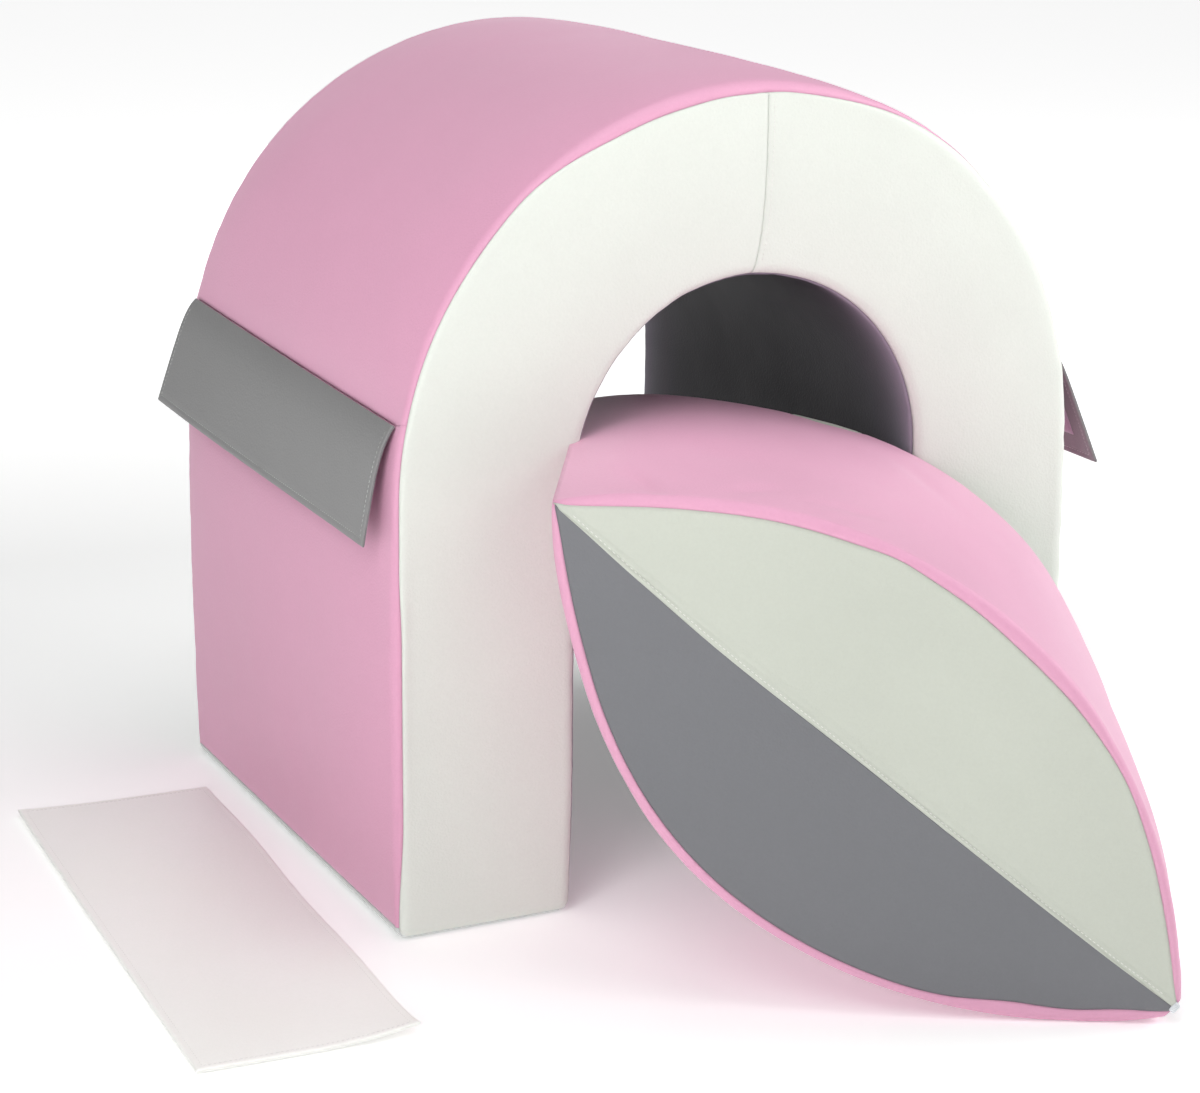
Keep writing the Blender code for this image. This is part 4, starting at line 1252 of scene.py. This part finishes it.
ZIP_SINK = -0.00035
TAPE_START = 0.0006
TAPE_THICKNESS = 0.0006
TOOTH_PITCH = 0.0024
TOOTH_SIDE = 0.00165
TOOTH_SIZE = (0.0011, 0.0007, 0.0010)
BASE_ZIP = {"half_length": 0.2217, "tape_reach": 0.0125}
ROCKER_ZIP = {"half_length": 0.151, "tape_reach": 0.0070}


def rounded_box(place, size, radius, segments):
    """A box with rounded edges."""
    bm = bmesh.new()
    bmesh.ops.create_cube(bm, size=1.0, matrix=sized(place, size))
    round_edges(bm, bm.edges[:], radius, segments)
    return bm


def make_zip(name, place, half_length, tape_reach, halves, body):
    """Two tapes with coil teeth; in the zip's frame it runs along Y and faces +Z."""
    for side, label in zip((1, -1), halves):
        centre = side * (tape_reach + TAPE_START) / 2
        size = (tape_reach - TAPE_START, half_length * 2, TAPE_THICKNESS)
        tape = rounded_box((centre, 0.0, ZIP_SINK), size, 0.0002, 2)
        finish_piece(f"{name}_tape_{label}", tape, ZIP_TAPE, body,
                     (f"{name}_chain_{label}",), place=place)
        teeth = bmesh.new()
        for y in spaced(-half_length + 0.002, half_length - 0.002, TOOTH_PITCH):
            spot = (side * TOOTH_SIDE, y + side * TOOTH_PITCH / 4, ZIP_SINK)
            add_bead(teeth, sized(spot, TOOTH_SIZE))
        finish_piece(f"{name}_teeth_{label}", teeth, ZIP_TEETH, body, place=place)


def make_zips():
    """Base zips under both legs and the zip at the rocker's lower tip."""
    turned = Matrix.Rotation(math.pi, 4, "Y")
    slot_x = (SLOT_NEAR + SLOT_FAR) / 2
    for side, label in ((-1, "left"), (1, "right")):
        place = TO_PART @ Matrix.Translation((side * slot_x, 0.0, 0.0036)) @ turned
        halves = ("inner", "outer") if side < 0 else ("outer", "inner")
        make_zip(f"{label}_base_zip", place, halves=halves, body="tunnel", **BASE_ZIP)
    upright = Matrix.Rotation(math.pi / 2, 4, "Y")
    place = ROCKER_TO_PART @ Matrix.Translation((ROCKER_TIP_U - 0.002, 0.0, 0.0)) @ upright
    make_zip("rocker_zip", place, halves=("lower", "upper"), body="rocker", **ROCKER_ZIP)
    fold = rounded_box((0.0, -0.1618, 0.0018), (0.0084, 0.0050, 0.0052), 0.0018, 4)
    finish_piece("rocker_zip_tape_fold", fold, ZIP_TAPE, "rocker", place=place)
    for name in ("left_base_zip_slider", "right_base_zip_slider", "rocker_zip_slider"):
        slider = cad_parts[name]
        slider.data.materials.clear()
        slider.data.materials.append(SLIDER_METAL)


# Studio

CAMERA_PLACE = (-0.90527, -2.25950, 0.95125)
CAMERA_RIGHT = (0.8975454, -0.4407928, 0.0106729)
CAMERA_UP = (0.1131481, 0.2536531, 0.9606548)
CAMERA_LENS = 91.127

WHITE = (1.0, 1.0, 1.0, 1.0)
FLOOR_GLOW = 0.22
BACKDROP_GLOW = 0.85
# Distances from the middle between which the floor's glow rises to the backdrop's
GLOW_REACH = (0.9, 2.4)
HORIZON_LIGHT = 1.0
SKY_LIGHT = 0.06
# Heights, as a direction's Z, between which the white horizon fades to the sky
HORIZON = (0.02, 0.12)
LIGHTS_AIM = (0.15, -0.1, 0.3)
# Name, place, side and power of each soft box
SOFT_BOXES = (
    ("key", (1.6, -2.4, 2.6), 1.8, 21.0),
    ("overhead", (0.1, -0.3, 2.8), 1.8, 26.0),
    ("front_top", (-1.2, -1.4, 2.2), 1.2, 17.0),
    ("right", (3.0, -0.8, 1.6), 1.8, 52.0),
    ("left", (-3.0, -1.2, 1.4), 2.2, 7.0),
    ("front_left", (-1.5, -1.5, 0.7), 0.8, 11.0),
    ("behind", (0.9, 3.6, 0.9), 2.4, 22.0),
)


def make_camera():
    """The photograph's viewpoint, as fitted to the block's edges."""
    data = bpy.data.cameras.new("camera")
    data.lens = CAMERA_LENS
    data.sensor_width = 36.0
    data.sensor_fit = "HORIZONTAL"
    data.clip_start = 0.05
    camera = add_object("camera", data)
    right = Vector(CAMERA_RIGHT).normalized()
    up = Vector(CAMERA_UP).normalized()
    back = right.cross(up)
    turn = Matrix((right, up, back)).transposed().to_4x4()
    camera.matrix_world = Matrix.Translation(CAMERA_PLACE) @ turn
    bpy.context.scene.camera = camera


def add_light(name, place, size, power):
    """A square soft box that looks at the set."""
    data = bpy.data.lights.new(name, "AREA")
    data.shape = "SQUARE"
    data.size = size
    data.energy = power
    light = add_object(name, data)
    aim = (Vector(LIGHTS_AIM) - Vector(place)).to_track_quat("-Z", "Y")
    light.matrix_world = Matrix.Translation(place) @ aim.to_matrix().to_4x4()
    light.visible_camera = False


def make_studio():
    """Pale floor that brightens into a lit backdrop, soft boxes, and a sky white low down."""
    bm = bmesh.new()
    bmesh.ops.create_grid(bm, x_segments=2, y_segments=2, size=30.0)
    bmesh.ops.translate(bm, verts=bm.verts[:], vec=(0.0, 0.0, -0.0006))
    material, tree, shader, place = start_material("pale_floor")
    shade = add_mix(tree, add_noise(tree, place, 0.8), srgb(250, 250, 250), srgb(253, 253, 252))
    away = tree.nodes.new("ShaderNodeVectorMath")
    away.operation = "LENGTH"
    tree.links.new(place, away.inputs[0])
    lit = add_range(tree, away.outputs["Value"], FLOOR_GLOW, BACKDROP_GLOW, *GLOW_REACH)
    feed(tree, shader, Base_Color=shade, Roughness=0.8, Specular_IOR_Level=0.1)
    feed(tree, shader, Emission_Color=WHITE, Emission_Strength=lit)
    floor = add_mesh("floor", bm, material)
    world = bpy.data.worlds.new("surround")
    world.use_nodes = True
    tree = world.node_tree
    height = tree.nodes.new("ShaderNodeSeparateXYZ")
    feed(tree, height, Vector=tree.nodes.new("ShaderNodeTexCoord").outputs["Generated"])
    sky = add_range(tree, height.outputs["Z"], HORIZON_LIGHT, SKY_LIGHT, *HORIZON)
    feed(tree, tree.nodes["Background"], Color=WHITE, Strength=sky)
    bpy.context.scene.world = world
    for name, place, size, power in SOFT_BOXES:
        add_light(name, place, size, power)
    bpy.context.scene.view_settings.view_transform = "Standard"


make_camera()
make_studio()
make_tunnel()
make_flap(LEFT_FLAP, "left")
make_flap(RIGHT_FLAP, "right")
make_rocker()
make_strip()
make_zips()
